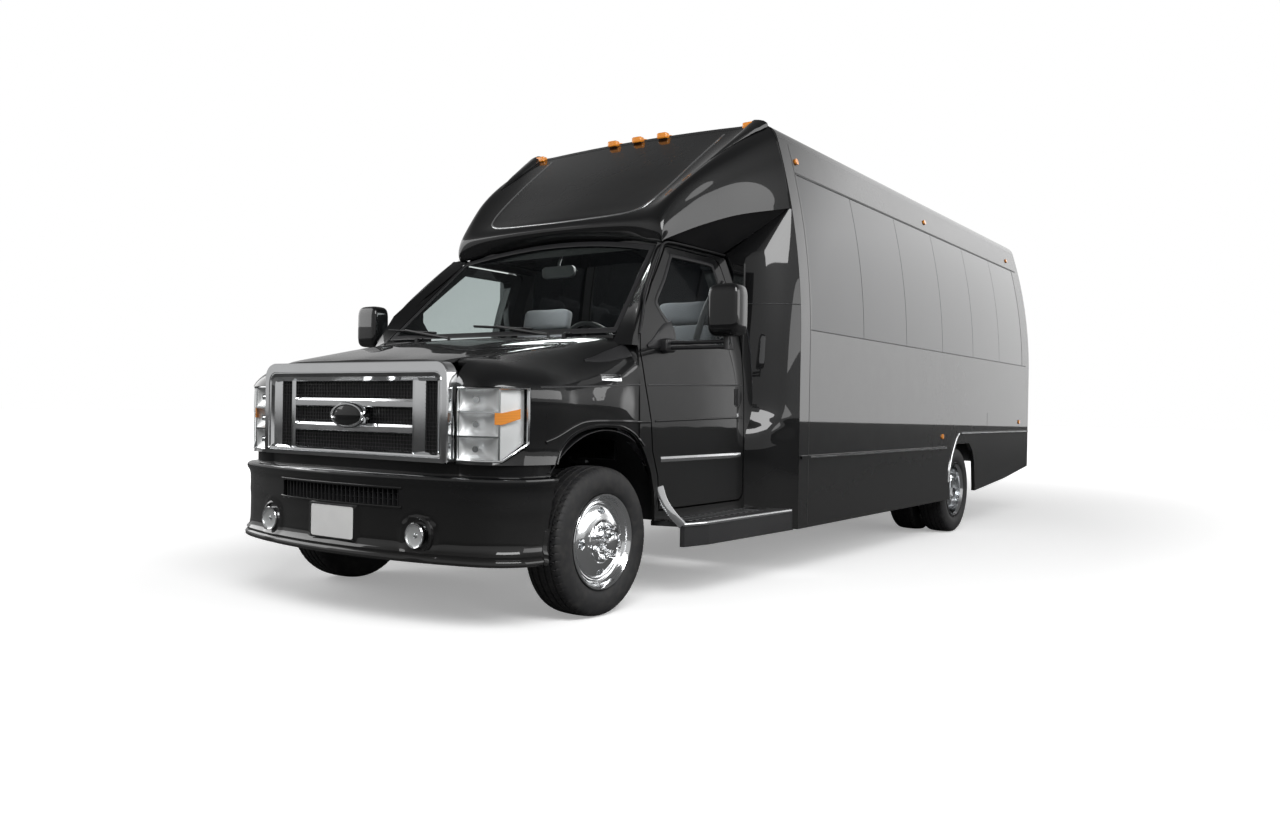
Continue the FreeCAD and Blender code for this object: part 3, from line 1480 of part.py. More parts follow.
def markerLamps():
    """Five clearance lamps over the cap and the small side markers."""
    lamps = []
    for x in (0, 203, -203, 850, -850):
        base = roofHeight(x) + seat_gap + 0.2
        lamps.append(Part.makeCone(24, 15, 20, Vec(x, 1705, base), Vec(x / 14000, 0, 1)))
    for y, z in ((1845, 2598), (4219, 2598), (6666, 2598), (4321, 836), (6698, 954)):
        lean = math.asin(max(z - side_straight, 0) / side_radius)
        out = Vec(math.cos(lean), 0, math.sin(lean))
        lamp = Part.makeCylinder(20, 10, Vec(bodyHalf(z), y, z) + out * 0.3, out)
        lamps += [lamp, mirrored(lamp)]
    feature("marker_lamps", Part.Compound(lamps))


def build():
    """Make every sub-part."""
    for name, side in (("left", 1), ("right", -1)):
        frontTyre("tyre_front_" + name, side)
        frontRim("wheel_front_" + name, side)
        rearTyres("tyres_rear_" + name, side)
        rearRims("wheels_rear_" + name, side)
        knuckle("knuckle_" + name, side)
        cabDoor("cab_door_" + name, side)
        doorGlass("door_glass_" + name, side)
        mirror("mirror_" + name, side)
        bodySide("body_side_" + name, side)
        luggageDoor("luggage_door_" + name, side)
    for make in (frontBeams, rearAxle, frameRails, crossMembers, driveShaft, engineBlock, fuelTank,
                 exhaustPipe, headlamps, hood, grille, frontBumper, fogLamps, cabShell, windshield,
                 dashboard, steeringWheel, cabSeats, passengerSeats, wipers, runningBoards, entryDoor,
                 bodyGlass, roofPanel, rearWall, tailLamps, rearBumper, bodyFloor,
                 frontCap, fairings, markerLamps):
        make()


def export():
    """Check every sub-part and write its file."""
    doc.recompute()
    for thing in doc.Objects:
        if "Invalid" in thing.State or "Error" in thing.State:
            raise RuntimeError(f"{thing.Name} failed: {thing.State}")
    for thing in nodes:
        shape = thing.Shape
        if shape.isNull() or not shape.isValid() or not shape.Solids:
            raise RuntimeError(f"{thing.Label} has no sound shape")
        print(f"{thing.Label}: {len(shape.Solids)} solid, {shape.Volume / 1e6:.2f} litres")
    for thing in nodes:
        thing.Shape.exportStep(f"parts/{thing.Label}.step")


build()
export()
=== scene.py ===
import math

import bmesh
import bpy
import numpy as np
from mathutils import Matrix, Vector
from mathutils.bvhtree import BVHTree


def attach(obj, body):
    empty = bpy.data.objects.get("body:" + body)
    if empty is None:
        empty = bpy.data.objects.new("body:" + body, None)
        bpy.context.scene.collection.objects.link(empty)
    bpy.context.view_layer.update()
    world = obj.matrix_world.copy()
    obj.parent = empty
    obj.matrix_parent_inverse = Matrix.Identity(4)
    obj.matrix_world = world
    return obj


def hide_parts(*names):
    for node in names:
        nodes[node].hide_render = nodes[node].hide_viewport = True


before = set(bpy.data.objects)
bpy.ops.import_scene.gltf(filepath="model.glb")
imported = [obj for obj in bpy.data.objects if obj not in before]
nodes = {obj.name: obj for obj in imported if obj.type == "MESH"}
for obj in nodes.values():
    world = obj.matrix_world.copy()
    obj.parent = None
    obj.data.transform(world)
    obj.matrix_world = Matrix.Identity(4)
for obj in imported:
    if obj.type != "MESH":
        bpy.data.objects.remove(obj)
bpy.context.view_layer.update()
stance = {"axle": -3.161, "wheelbase": 4.826, "frontTrack": 0.8815, "rearTrack": 0.938, "twin": 0.1335,
          "hub": 0.368}
axleY = stance["axle"]  # the front axle in the frame; pieces are drawn with y measured from it
fromAxle = np.array([0, axleY, 0])
sides = (("Left", 1), ("Right", -1))


# shader maths: a Wire is one output of a node, and sums and products on it add Math nodes
class Wire:
    def __init__(self, shader, socket):
        self.shader, self.socket = shader, socket

    def maths(self, operation, first, second=0.0):
        return self.shader.node("ShaderNodeMath", {"operation": operation}, {0: first, 1: second})

    def __add__(self, other):
        return self.maths("ADD", self, other)

    def __sub__(self, other):
        return self.maths("SUBTRACT", self, other)

    def __rsub__(self, other):
        return self.maths("SUBTRACT", other, self)

    def __mul__(self, other):
        return self.maths("MULTIPLY", self, other)

    def power(self, other):
        return self.maths("POWER", self, other)

    def wave(self):  # sine of the value, moved to 0..1
        return self.maths("SINE", self) * 0.5 + 0.5

    __radd__ = __add__
    __rmul__ = __mul__


# the node tree of a new material, or of a new world
class Shader:
    def __init__(self, name, world=False):
        self.owner = (bpy.data.worlds if world else bpy.data.materials).new(name)
        self.owner.use_nodes = True
        self.tree = self.owner.node_tree
        self.tree.nodes.clear()
        self.place = self.node("ShaderNodeTexCoord", output="Generated" if world else "Object")

    # any node: its settings are set first, then the values or links of its sockets
    def node(self, kind, settings=None, inputs=None, output=0):
        made = self.tree.nodes.new(kind)
        for key, value in (settings or {}).items():
            if key == "stops":
                for i, (position, shade) in enumerate(value):
                    ramp = made.color_ramp.elements
                    stop = ramp[i] if i < 2 else ramp.new(position)
                    stop.position = position
                    stop.color = (shade, shade, shade, 1)
            else:
                setattr(made, key, value)
        for key, value in (inputs or {}).items():
            if isinstance(value, Wire):
                self.tree.links.new(value.socket, made.inputs[key])
            else:
                made.inputs[key].default_value = value
        return Wire(self, made.outputs[output])

    def axis(self, letter):
        return self.node("ShaderNodeSeparateXYZ", {}, {0: self.place}, "XYZ".index(letter))

    def noise(self, scale, detail=2.0, stretch=(1, 1, 1)):
        spot = self.node("ShaderNodeMapping", {}, {"Vector": self.place, "Scale": stretch})
        return self.node("ShaderNodeTexNoise", {}, {"Vector": spot, "Scale": scale, "Detail": detail})

    def ramp(self, value, *stops):
        return self.node("ShaderNodeValToRGB", {"stops": stops}, {0: value})

    def blend(self, factor, first, second):  # colours, as (r, g, b)
        first = first if isinstance(first, Wire) else (*first, 1)
        second = second if isinstance(second, Wire) else (*second, 1)
        return self.node("ShaderNodeMix", {"data_type": "RGBA"}, {0: factor, 6: first, 7: second}, 2)

    def bump(self, height, strength, distance):
        return self.node("ShaderNodeBump", {}, {"Height": height, "Strength": strength, "Distance": distance})

    def principled(self, **inputs):
        named = {key.replace("_", " "): value for key, value in inputs.items()}
        return self.node("ShaderNodeBsdfPrincipled", {}, named)

    def output(self, surface, kind="ShaderNodeOutputMaterial"):
        end = self.tree.nodes.new(kind)
        self.tree.links.new(surface.socket, end.inputs["Surface"])
        return self.owner


def paint(name="glossBlack", tone=0.003):
    # clear-coated black, with a fine ripple in the coat and road dust low down
    s = Shader(name)
    dust = s.ramp(s.axis("Z") * 0.5 + s.noise(2.2, 5) * 0.16, (0.16, 1), (0.42, 0)) * 0.18
    base = s.blend(dust, (tone, tone * 1.05, tone * 1.15), (0.045, 0.042, 0.038))
    ripple = s.noise(210, 1) + s.noise(2.1, 2) * 2.0
    return s.output(s.principled(
        Base_Color=base, Roughness=dust * 1.2 + s.noise(7, 3) * 0.08 + 0.36, Specular_IOR_Level=0.12,
        Coat_Weight=1.0, Coat_Roughness=0.02, IOR=1.5,
        Normal=s.bump(ripple, 0.03, 0.0006)))


def plastic(name, tone, rough, grain=900.0, depth=0.0004):
    # moulded plastic: fine grain, faded a little where noise is high
    s = Shader(name)
    fade = s.noise(3.1, 4)
    base = s.blend(fade, tuple(0.8 * c for c in tone), tuple(1.25 * c for c in tone))
    return s.output(s.principled(
        Base_Color=base, Roughness=fade * 0.12 + rough - 0.06,
        Normal=s.bump(s.noise(grain, 2), 0.35, depth)))


def metal(name, tone, rough, smear=0.08, stretch=(1, 1, 1)):
    # plated or rolled metal: a cloudy haze sets the roughness, and a faint ripple the surface
    s = Shader(name)
    haze = s.noise(9, 4, stretch)
    base = s.blend(haze, tuple(0.93 * c for c in tone), tone)
    return s.output(s.principled(
        Base_Color=base, Metallic=1.0, Roughness=haze * smear + rough,
        Normal=s.bump(s.noise(38, 2, stretch), 0.02, 0.0001)))


def glass(name, tone, clear, rough=0.02):
    # a film of reflection over a see-through pane; tone is what light through it keeps
    s = Shader(name)
    grime = s.noise(3.3, 5) * 0.05
    facing = s.node("ShaderNodeLayerWeight", {}, {"Blend": 0.5}, "Facing")
    edge = facing.power(5.0) * 0.96 + 0.04
    through = s.node("ShaderNodeBsdfTransparent", {}, {"Color": (*tone, 1)})
    film = s.principled(
        Base_Color=(0.006, 0.007, 0.009, 1), Roughness=0.3, Specular_IOR_Level=0.15, Coat_Weight=1.0,
        Coat_Roughness=rough)
    hold = edge * 0.8 + grime * 0.4 + (1 - clear)
    pick = s.node("ShaderNodeClamp", {}, {"Value": hold})
    return s.output(s.node("ShaderNodeMixShader", {}, {0: pick, 1: through, 2: film}))


def rubber():
    # dusty black rubber: worn patches are paler
    s = Shader("tyreRubber")
    wear = s.noise(24, 5)
    base = s.blend(s.ramp(wear, (0.45, 0), (0.75, 1)), (0.010, 0.010, 0.011), (0.026, 0.025, 0.024))
    return s.output(s.principled(
        Base_Color=base, Roughness=wear * 0.2 + 0.55, Normal=s.bump(s.noise(420, 3), 0.3, 0.0006)))


def weave():
    # woven seat cloth: two crossed ribs and a flecked yarn
    s = Shader("seatCloth")
    ribs = (s.axis("X") * 1800).wave() + (s.axis("Z") * 1500).wave() + (s.axis("Y") * 1500).wave()
    fleck = s.noise(620, 3)
    base = s.blend(fleck, (0.035, 0.037, 0.042), (0.11, 0.115, 0.125))
    return s.output(s.principled(
        Base_Color=base, Roughness=0.88, Sheen_Weight=0.35, Normal=s.bump(ribs + fleck, 0.4, 0.0009)))


def vinylFloor():
    # dark vinyl with pale specks where fine noise is high
    s = Shader("floorVinyl")
    speck = s.ramp(s.noise(260, 2), (0.55, 0), (0.62, 1))
    base = s.blend(speck, (0.06, 0.062, 0.066), (0.22, 0.22, 0.22))
    return s.output(s.principled(Base_Color=base, Roughness=s.noise(6, 4) * 0.3 + 0.5,
                                 Normal=s.bump(s.noise(500, 2), 0.2, 0.0005)))


def lens(name, tone):
    # coloured lens with moulded ribs
    s = Shader(name)
    ribs = (s.axis("Z") * 900).wave()
    base = s.blend(ribs, tuple(0.75 * c for c in tone), tone)
    return s.output(s.principled(Base_Color=base, Roughness=ribs * 0.08 + 0.1, Coat_Weight=1.0,
                                 Normal=s.bump(ribs, 0.3, 0.0015)))


def castIron():
    # dark iron with rust where coarse noise is high
    s = Shader("castIron")
    rust = s.ramp(s.noise(11, 6), (0.5, 0), (0.72, 1))
    base = s.blend(rust, (0.035, 0.034, 0.033), (0.09, 0.05, 0.03))
    return s.output(s.principled(Base_Color=base, Roughness=rust * 0.25 + 0.6, Metallic=0.3,
                                 Normal=s.bump(s.noise(180, 4), 0.5, 0.002)))


materials = {
    "gloss_black": paint(),
    "black_trim": plastic("blackTrim", (0.014, 0.014, 0.015), 0.42),
    "chrome": metal("chromePlate", (0.86, 0.87, 0.88), 0.05),
    "tinted_glass": glass("tintedGlass", (0.10, 0.11, 0.12), 0.30),
    "clear_glass": glass("clearGlass", (0.92, 0.95, 0.94), 1.0),
    "door_glass": glass("doorGlass", (0.80, 0.83, 0.83), 0.94),
    "lamp_lens": glass("lampLens", (0.96, 0.97, 0.97), 1.0),
    "tyre": rubber(),
    "chassis_black": plastic("chassisBlack", (0.012, 0.012, 0.012), 0.6, 60, 0.002),
    "cast": castIron(),
    "bright_steel": metal("brightSteel", (0.82, 0.83, 0.84), 0.09, 0.10),
    "tread_aluminium": metal("treadAluminium", (0.55, 0.56, 0.57), 0.28, 0.15),
    "seat_fabric": weave(),
    "floor_cover": vinylFloor(),
    "lamp_red": lens("redLens", (0.55, 0.012, 0.01)),
    "lamp_amber": lens("amberLens", (1.0, 0.34, 0.03)),
    "interior_grey": plastic("interiorGrey", (0.26, 0.26, 0.265), 0.55, 700),
    "plate_white": plastic("plateWhite", (0.88, 0.88, 0.87), 0.35, 300, 0.0002),
    "lamp_mirror": metal("lampMirror", (0.98, 0.98, 0.98), 0.42, 0.10),
}
print("materials:", len(materials))


def clothe():
    # each CAD node takes the material of the slot that it was packed with, apart from a few
    other = {"headlamps": "lamp_lens", "fog_lamps": "lamp_lens", "running_boards": "black_trim",
             "door_glass_left": "door_glass", "door_glass_right": "door_glass"}
    for key, node in nodes.items():
        name = node.data.materials[0].name.split(".")[0]
        node.data.materials[0] = materials[other.get(key, name)]


# mesh makers
def gridFaces(rows, columns, wrapRows=False, wrapColumns=False):
    index = np.arange(rows * columns).reshape(rows, columns)
    if wrapRows:
        index = np.vstack([index, index[:1]])
    if wrapColumns:
        index = np.hstack([index, index[:, :1]])
    corners = [index[:-1, :-1], index[1:, :-1], index[1:, 1:], index[:-1, 1:]]
    return np.stack(corners, -1).reshape(-1, 4)


def piece(name, parts, body, finish, closed=True, angle=34, bevel=0.0, look=None):
    # parts is a list of (points, faces); finish is a slot name, and look is a material that differs from it
    verts, faces, start = [], [], 0
    for points, quads in parts:
        verts.append(np.asarray(points, float).reshape(-1, 3))
        faces += [[i + start for i in face] for face in quads]
        start += len(verts[-1])
    mesh = bpy.data.meshes.new(name)
    mesh.from_pydata(np.vstack(verts).tolist(), [], faces)
    work = bmesh.new()
    work.from_mesh(mesh)
    bmesh.ops.remove_doubles(work, verts=work.verts, dist=1e-6)
    bmesh.ops.dissolve_degenerate(work, edges=work.edges, dist=1e-7)
    if closed:
        bmesh.ops.recalc_face_normals(work, faces=work.faces)
    work.to_mesh(mesh)
    work.free()
    mesh.polygons.foreach_set("use_smooth", np.ones(len(mesh.polygons), bool))
    mesh.set_sharp_from_angle(angle=math.radians(angle))
    mesh.materials.append(materials[look or finish])
    made = bpy.data.objects.new(name, mesh)
    bpy.context.scene.collection.objects.link(made)
    if bevel:
        edge = made.modifiers.new("edge", "BEVEL")
        edge.width, edge.segments, edge.limit_method = bevel, 2, "ANGLE"
    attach(made, body)
    return made


def turnedShape(profile, steps, centre, side=1):
    # a closed (x, radius) profile carried round the X axis through centre
    profile = np.asarray(profile, float)
    angle = np.linspace(0, 2 * math.pi, steps, endpoint=False)
    x = np.broadcast_to(side * profile[:, 0, None], (len(profile), steps))
    points = np.stack([x + centre[0], profile[:, 1, None] * np.sin(angle) + centre[1] + axleY,
                       profile[:, 1, None] * np.cos(angle) + centre[2]], -1)
    return points, gridFaces(len(profile), steps, True, True)


def slab(outline, low, high, axis="X"):
    # a flat outline pushed between two places on an axis; y is measured from the front axle
    outline = np.asarray(outline, float)
    count = len(outline)
    order = {"X": (2, 0, 1), "Y": (0, 2, 1), "Z": (0, 1, 2)}[axis]
    layers = []
    for place in (low, high):
        flat = np.column_stack([outline, np.full(count, place)])
        layers.append(flat[:, order])
    points = np.vstack(layers) + fromAxle
    index = np.arange(count)
    ring = np.column_stack([index, np.roll(index, -1), np.roll(index, -1) + count, index + count])
    return points, ring.tolist() + [index[::-1].tolist(), (index + count).tolist()]


def tubeShape(path, radius, steps=12):
    # a circle carried along a path; frames come from each point's own tangent and the vertical
    path = np.asarray(path, float)
    along = np.gradient(path, axis=0)
    along /= np.linalg.norm(along, axis=1)[:, None]
    up = np.where(np.abs(along[:, 2:3]) > 0.9, [[0, 1.0, 0]], [[0, 0, 1.0]])
    across = np.cross(along, up)
    across /= np.linalg.norm(across, axis=1)[:, None]
    lift = np.cross(across, along)
    angle = np.linspace(0, 2 * math.pi, steps, endpoint=False)[None, :, None]
    reach = np.broadcast_to(np.asarray(radius, float).reshape(-1, 1, 1), (len(path), 1, 1))
    ring = path[:, None] + reach * (across[:, None] * np.cos(angle) + lift[:, None] * np.sin(angle))
    points = np.concatenate([path[:1, None].repeat(steps, 1), ring, path[-1:, None].repeat(steps, 1)])
    return points + fromAxle, gridFaces(len(points), steps, False, True)


def smoothLine(points, count):
    # a Catmull-Rom curve through points, sampled evenly in its parameter
    p = np.asarray(points, float)
    p = np.vstack([2 * p[0] - p[1], p, 2 * p[-1] - p[-2]])
    t = np.linspace(0, len(p) - 3, count)
    i = np.minimum(t.astype(int), len(p) - 4)
    f = (t - i)[:, None]
    a, b, c, d = p[i], p[i + 1], p[i + 2], p[i + 3]
    return 0.5 * (2 * b + (c - a) * f + (2 * a - 5 * b + 4 * c - d) * f ** 2
                  + (3 * b - a - 3 * c + d) * f ** 3)


# tyres
tyre = {"radius": 0.368, "bead": 0.2357, "crownHalf": 0.085, "blocks": 60, "steps": 480,
        "grooves": (-0.058, -0.020, 0.020, 0.058), "grooveHalf": 0.0042, "grooveDepth": 0.008,
        "slotOuter": 0.0065, "slotInner": 0.004, "lugDepth": 0.003, "bandHeight": 0.001}


def tyreShape(x, y):
    # section: bead, bulged sidewall, shoulder and crown; grooves and block gaps are pressed into the radius
    wall = smoothLine([(0.0885, tyre["bead"]), (0.102, 0.246), (0.1105, 0.276), (0.1112, 0.306),
                       (0.106, 0.334), (0.0995, 0.350), (0.0885, 0.3605)], 17)
    walls = [g + s * (tyre["grooveHalf"] + e) for g in tyre["grooves"] for s in (-1, 1) for e in (0, 0.0021)]
    ribs = [-0.085, -0.0795, -0.072, -0.045, -0.034, -0.008, 0.008, 0.034, 0.045, 0.072, 0.0795, 0.085]
    tread = np.array(sorted(walls + ribs))[::-1]
    share = tread / tyre["crownHalf"]
    crown = tyre["radius"] - 0.004 * share ** 2 - 0.0028 * np.abs(share) ** 9
    across = np.concatenate([wall[:, 0], tread, -wall[::-1, 0]])
    radius = np.concatenate([wall[:, 1], crown, wall[::-1, 1]])
    angle = np.linspace(0, 2 * math.pi, tyre["steps"], endpoint=False)
    on = np.abs(across) < 0.0853
    gap = np.min([np.abs(across - g) for g in tyre["grooves"]], axis=0)
    groove = np.clip((tyre["grooveHalf"] + 0.002 - gap) / 0.002, 0, 1) * on
    turn = angle * tyre["blocks"] / (2 * math.pi) + 0.9 * np.sin(across[:, None] * 55)
    slot = (np.abs(turn % 1 - 0.5) < 0.07) * (on & (gap > tyre["grooveHalf"]))[:, None]
    deep = np.where(np.abs(across) > 0.06, tyre["slotOuter"], tyre["slotInner"])[:, None]
    depth = np.maximum(groove[:, None] * tyre["grooveDepth"], slot * deep)
    lug = (np.abs(angle * tyre["blocks"] / (2 * math.pi) % 1 - 0.5) < 0.11) * (
        (np.abs(across) > 0.0853) & (radius > 0.343))[:, None] * tyre["lugDepth"]
    band = (np.abs(radius - 0.325) < 0.0012)[:, None] * (np.abs(across) > 0.09)[:, None] * tyre["bandHeight"]
    out = radius[:, None] - depth - lug
    side = across[:, None] + np.sign(across)[:, None] * band
    points = np.stack([side + x + 0 * angle, out * np.sin(angle) + y + axleY,
                       out * np.cos(angle) + stance["hub"]], -1)
    return points, gridFaces(len(across), len(angle), True, True)


def tyres():
    # one front tyre and a pair of rear tyres on each side
    for name, side in sides:
        low = name.lower()
        ring = tyreShape(side * stance["frontTrack"], 0)
        front = piece("tyreFront" + name, [ring], "front_wheel_" + low, "tyre", angle=50)
        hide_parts("tyre_front_" + low)
        rings = [tyreShape(side * stance["rearTrack"] + off, stance["wheelbase"])
                 for off in (-stance["twin"], stance["twin"])]
        rear = piece("tyresRear" + name, rings, "rear_wheels_" + low, "tyre", angle=50)
        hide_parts("tyres_rear_" + low)
    print("tyres")


# wheels
def discShape(profile, centre, side, holes, steps=240):
    # a turned face whose depth is pressed in at round hand holes; profile runs from the rim to the centre
    profile = np.asarray(profile, float)
    angle = np.linspace(0, 2 * math.pi, steps, endpoint=False)
    radius = profile[:, 1, None]
    depth = np.zeros((len(profile), steps))
    for count, ring, wide, tall, push in holes:
        nearest = (angle * count / (2 * math.pi) + 0.5) % 1 - 0.5
        arc = nearest * 2 * math.pi / count * ring
        away = np.sqrt((arc[None] / wide) ** 2 + ((radius - ring) / tall) ** 2)
        depth = np.maximum(depth, push * np.clip((1.12 - away) / 0.12, 0, 1))
    x = side * (profile[:, 0, None] - depth)
    points = np.stack([x + centre[0], radius * np.sin(angle) + centre[1] + axleY,
                       radius * np.cos(angle) + centre[2]], -1)
    return points, gridFaces(len(profile), steps, False, True)


def nutShapes(centre, side, ring, near, length, radius, steps=14):
    # nuts at even angles on a ring; each is a stepped profile turned round its own axis
    shapes = []
    for k in range(wheel["nuts"]):
        a = 2 * math.pi * (k + 0.5) / wheel["nuts"]
        profile = [(near, radius * 1.25), (near + 0.006, radius * 1.25), (near + 0.008, radius),
                   (near + length - 0.008, radius * 0.86), (near + length - 0.002, radius * 0.6),
                   (near + length, 0.0), (near, 0.0)]
        middle = (centre[0], centre[1] + ring * math.sin(a), centre[2] + ring * math.cos(a))
        shapes.append(turnedShape(profile, steps, middle, side))
    return shapes


frontCover = [(0.100, 0.2352), (0.104, 0.233), (0.104, 0.226), (0.097, 0.219), (0.082, 0.213), (0.072, 0.206),
              (0.068, 0.198), (0.071, 0.190), (0.070, 0.187), (0.066, 0.184), (0.066, 0.181), (0.070, 0.178)]
frontDome = smoothLine([(0.072, 0.176), (0.080, 0.160), (0.088, 0.140), (0.092, 0.120), (0.094, 0.108)], 34)
frontHub = [(0.094, 0.106), (0.099, 0.102), (0.099, 0.098), (0.096, 0.094), (0.098, 0.084), (0.104, 0.076),
            (0.106, 0.062), (0.112, 0.046), (0.150, 0.043), (0.162, 0.036), (0.166, 0.024), (0.166, 0.0)]
rearCover = [(0.2375 - 0.001, 0.2352), (0.2375, 0.232), (0.2375, 0.224), (0.231, 0.217), (0.216, 0.211),
             (0.190, 0.207)]
rearDish = smoothLine([(0.150, 0.205), (0.100, 0.202), (0.060, 0.194), (0.036, 0.176), (0.026, 0.156),
                       (0.023, 0.132), (0.024, 0.108)], 40)
rearHub = [(0.030, 0.102), (0.036, 0.096), (0.040, 0.088), (0.074, 0.084), (0.096, 0.076), (0.108, 0.058),
           (0.110, 0.030), (0.110, 0.0)]
rimBack = [(0.100, 0.2350), (-0.104, 0.2350), (-0.104, 0.205), (0.05, 0.200), (0.06, 0.19)]
# holes: count, ring radius, half width, half height, depth; nuts: ring radius, place, length, radius
wheel = {"nuts": 8, "frontNuts": (0.074, 0.100, 0.052, 0.0125), "rearNuts": (0.094, 0.028, 0.034, 0.012),
         "frontHoles": [(4, 0.152, 0.022, 0.014, 0.035)], "rearHoles": [(6, 0.166, 0.026, 0.014, 0.03)]}


def wheelFace(name, profiles, centre, side, holes, body):
    # an open turned face; on the right side it comes out inside out, so it is flipped
    face = discShape(np.vstack(profiles), centre, side, holes)
    made = piece(name, [face], body, "chrome", closed=False, look="bright_steel")
    if side < 0:
        made.data.flip_normals()
    return made


def wheels():
    # cover, rim and nuts in front, dish and nuts behind
    for name, side in sides:
        low = name.lower()
        front, rear = "front_wheel_" + low, "rear_wheels_" + low
        centre = (side * stance["frontTrack"], 0, stance["hub"])
        cover = wheelFace("wheelCoverFront" + name, [frontCover, frontDome, frontHub], centre, side,
                          wheel["frontHoles"], front)
        piece("wheelRimFront" + name, [turnedShape(rimBack, 96, centre, side)], front, "bright_steel")
        piece("wheelNutsFront" + name, nutShapes(centre, side, *wheel["frontNuts"]), front, "chrome")
        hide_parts("wheel_front_" + low)
        centre = (side * stance["rearTrack"], stance["wheelbase"], stance["hub"])
        wheelFace("wheelDishRear" + name, [rearCover, rearDish, rearHub], centre, side,
                  wheel["rearHoles"], rear)
        piece("wheelNutsRear" + name, nutShapes(centre, side, *wheel["rearNuts"]), rear, "chrome")
    print("wheels")


# studio and camera
studio = {"floorTone": 0.95, "floorDark": 0.14, "floorLift": 0.29, "floorFar": 0.74, "floorHalf": 90,
          "dome": 0.36, "zenith": 0.11, "glow": 1.7}
# lamps: place, target, width, height, power; the last two stand over the cab's and the saloon's seats
lamps = {"keyLamp": ((6.5, -7.5, 7.0), (0, -1.0, 1.2), 7, 4, 760.0),
         "sideLamp": ((10.5, 2.0, 4.2), (1.2, 1.0, 1.8), 12, 4.5, 420.0),
         "fillLamp": ((-8.5, -5.0, 4.5), (0, 0, 1.2), 8, 5, 300.0),
         "cabLamp": ((0, -2.05, 1.93), (0, -2.05, 0), 1.1, 0.5, 15.0),
         "saloonLamp": ((0, 1.8, 2.38), (0, 1.8, 0), 0.7, 3.0, 45.0)}
# worked out from the photograph: place from the front axle, then yaw, pitch and roll in degrees
photo = {"place": (3.947, -3.963, 1.020), "turn": (124.864, -0.394, 0.984), "lens": 28.4625, "film": 36.0}


def areaLamp(name, place, target, wide, high, power):
    # a rectangular lamp that looks from its place to its target
    lamp = bpy.data.lights.new(name, "AREA")
    lamp.shape, lamp.size, lamp.size_y, lamp.energy = "RECTANGLE", wide, high, power
    made = bpy.data.objects.new(name, lamp)
    bpy.context.scene.collection.objects.link(made)
    made.location = place
    made.rotation_mode = "QUATERNION"
    made.rotation_quaternion = (Vector(target) - Vector(place)).to_track_quat("-Z", "Y")
    made.visible_camera = False


def studioScene():
    # the floor is a wide sheet: pale to the camera and whiter away from the vehicle, dark to all other rays
    s = Shader("studioFloor")
    seen = s.node("ShaderNodeLightPath", {}, {}, "Is Camera Ray")
    shade = s.blend(seen, (studio["floorDark"],) * 3, (studio["floorTone"],) * 3)
    tone = s.node("ShaderNodeBsdfDiffuse", {}, {"Color": shade})
    away = (s.axis("X") * 0.30).power(2.0) + (s.axis("Y") * 0.16).power(2.0)
    far = s.ramp(away * 0.25, (0.15, 0), (0.95, 1))
    lift = s.node("ShaderNodeEmission", {}, {"Color": seen * (far * studio["floorFar"] + studio["floorLift"])})
    sheet = s.output(s.node("ShaderNodeAddShader", {}, {0: tone, 1: lift}))
    mesh = bpy.data.meshes.new("studioFloor")
    h = studio["floorHalf"]
    mesh.from_pydata([(-h, -h, 0), (h, -h, 0), (h, h, 0), (-h, h, 0)], [], [(0, 1, 2, 3)])
    mesh.materials.append(sheet)
    floor = bpy.data.objects.new("studioFloor", mesh)
    bpy.context.scene.collection.objects.link(floor)
    # the dome is white to the camera; to all other rays it is dim above and ahead, and glows low along the side
    s = Shader("studioDome", world=True)
    seen = s.node("ShaderNodeLightPath", {}, {}, "Is Camera Ray")
    high = s.ramp(s.axis("Z"), (0.30, 1), (0.75, 0))
    along = s.ramp(s.axis("Y") * 0.5 + 0.5, (0.925, 0.04), (1.0, 0.36), (0.948, 1), (0.976, 0.56))
    flank = s.ramp(s.axis("X") * 0.5 + 0.5, (0.30, 0), (0.55, 1))
    dim = high * (along * flank * studio["glow"] + studio["dome"]) + studio["zenith"]
    level = s.node("ShaderNodeMix", {}, {0: seen, 2: dim, 3: 1.0})
    back = s.node("ShaderNodeBackground", {}, {"Color": (1, 1, 1, 1), "Strength": level})
    bpy.context.scene.world = s.output(back, "ShaderNodeOutputWorld")
    for name, settings in lamps.items():
        areaLamp(name, *settings)
    bpy.context.scene.view_settings.view_transform = "Standard"
    print("studio")


def photoCamera():
    # yaw and pitch give the direction ahead, and the roll turns the right and up directions about it
    yaw, pitch, roll = (math.radians(a) for a in photo["turn"])
    ahead = Vector((math.cos(yaw) * math.cos(pitch), math.sin(yaw) * math.cos(pitch), math.sin(pitch)))
    level = Vector((math.sin(yaw), -math.cos(yaw), 0))
    above = level.cross(ahead)
    right = level * math.cos(roll) + above * math.sin(roll)
    up = right.cross(ahead)
    data = bpy.data.cameras.new("photoCamera")
    data.lens, data.sensor_width = photo["lens"], photo["film"]
    data.clip_start, data.clip_end = 0.05, 400
    camera = bpy.data.objects.new("photoCamera", data)
    bpy.context.scene.collection.objects.link(camera)
    turn = Matrix((right, up, -ahead)).transposed()
    x, y, z = photo["place"]
    camera.matrix_world = Matrix.Translation((x, y + axleY, z)) @ turn.to_4x4()
    bpy.context.scene.camera = camera
    print("camera")


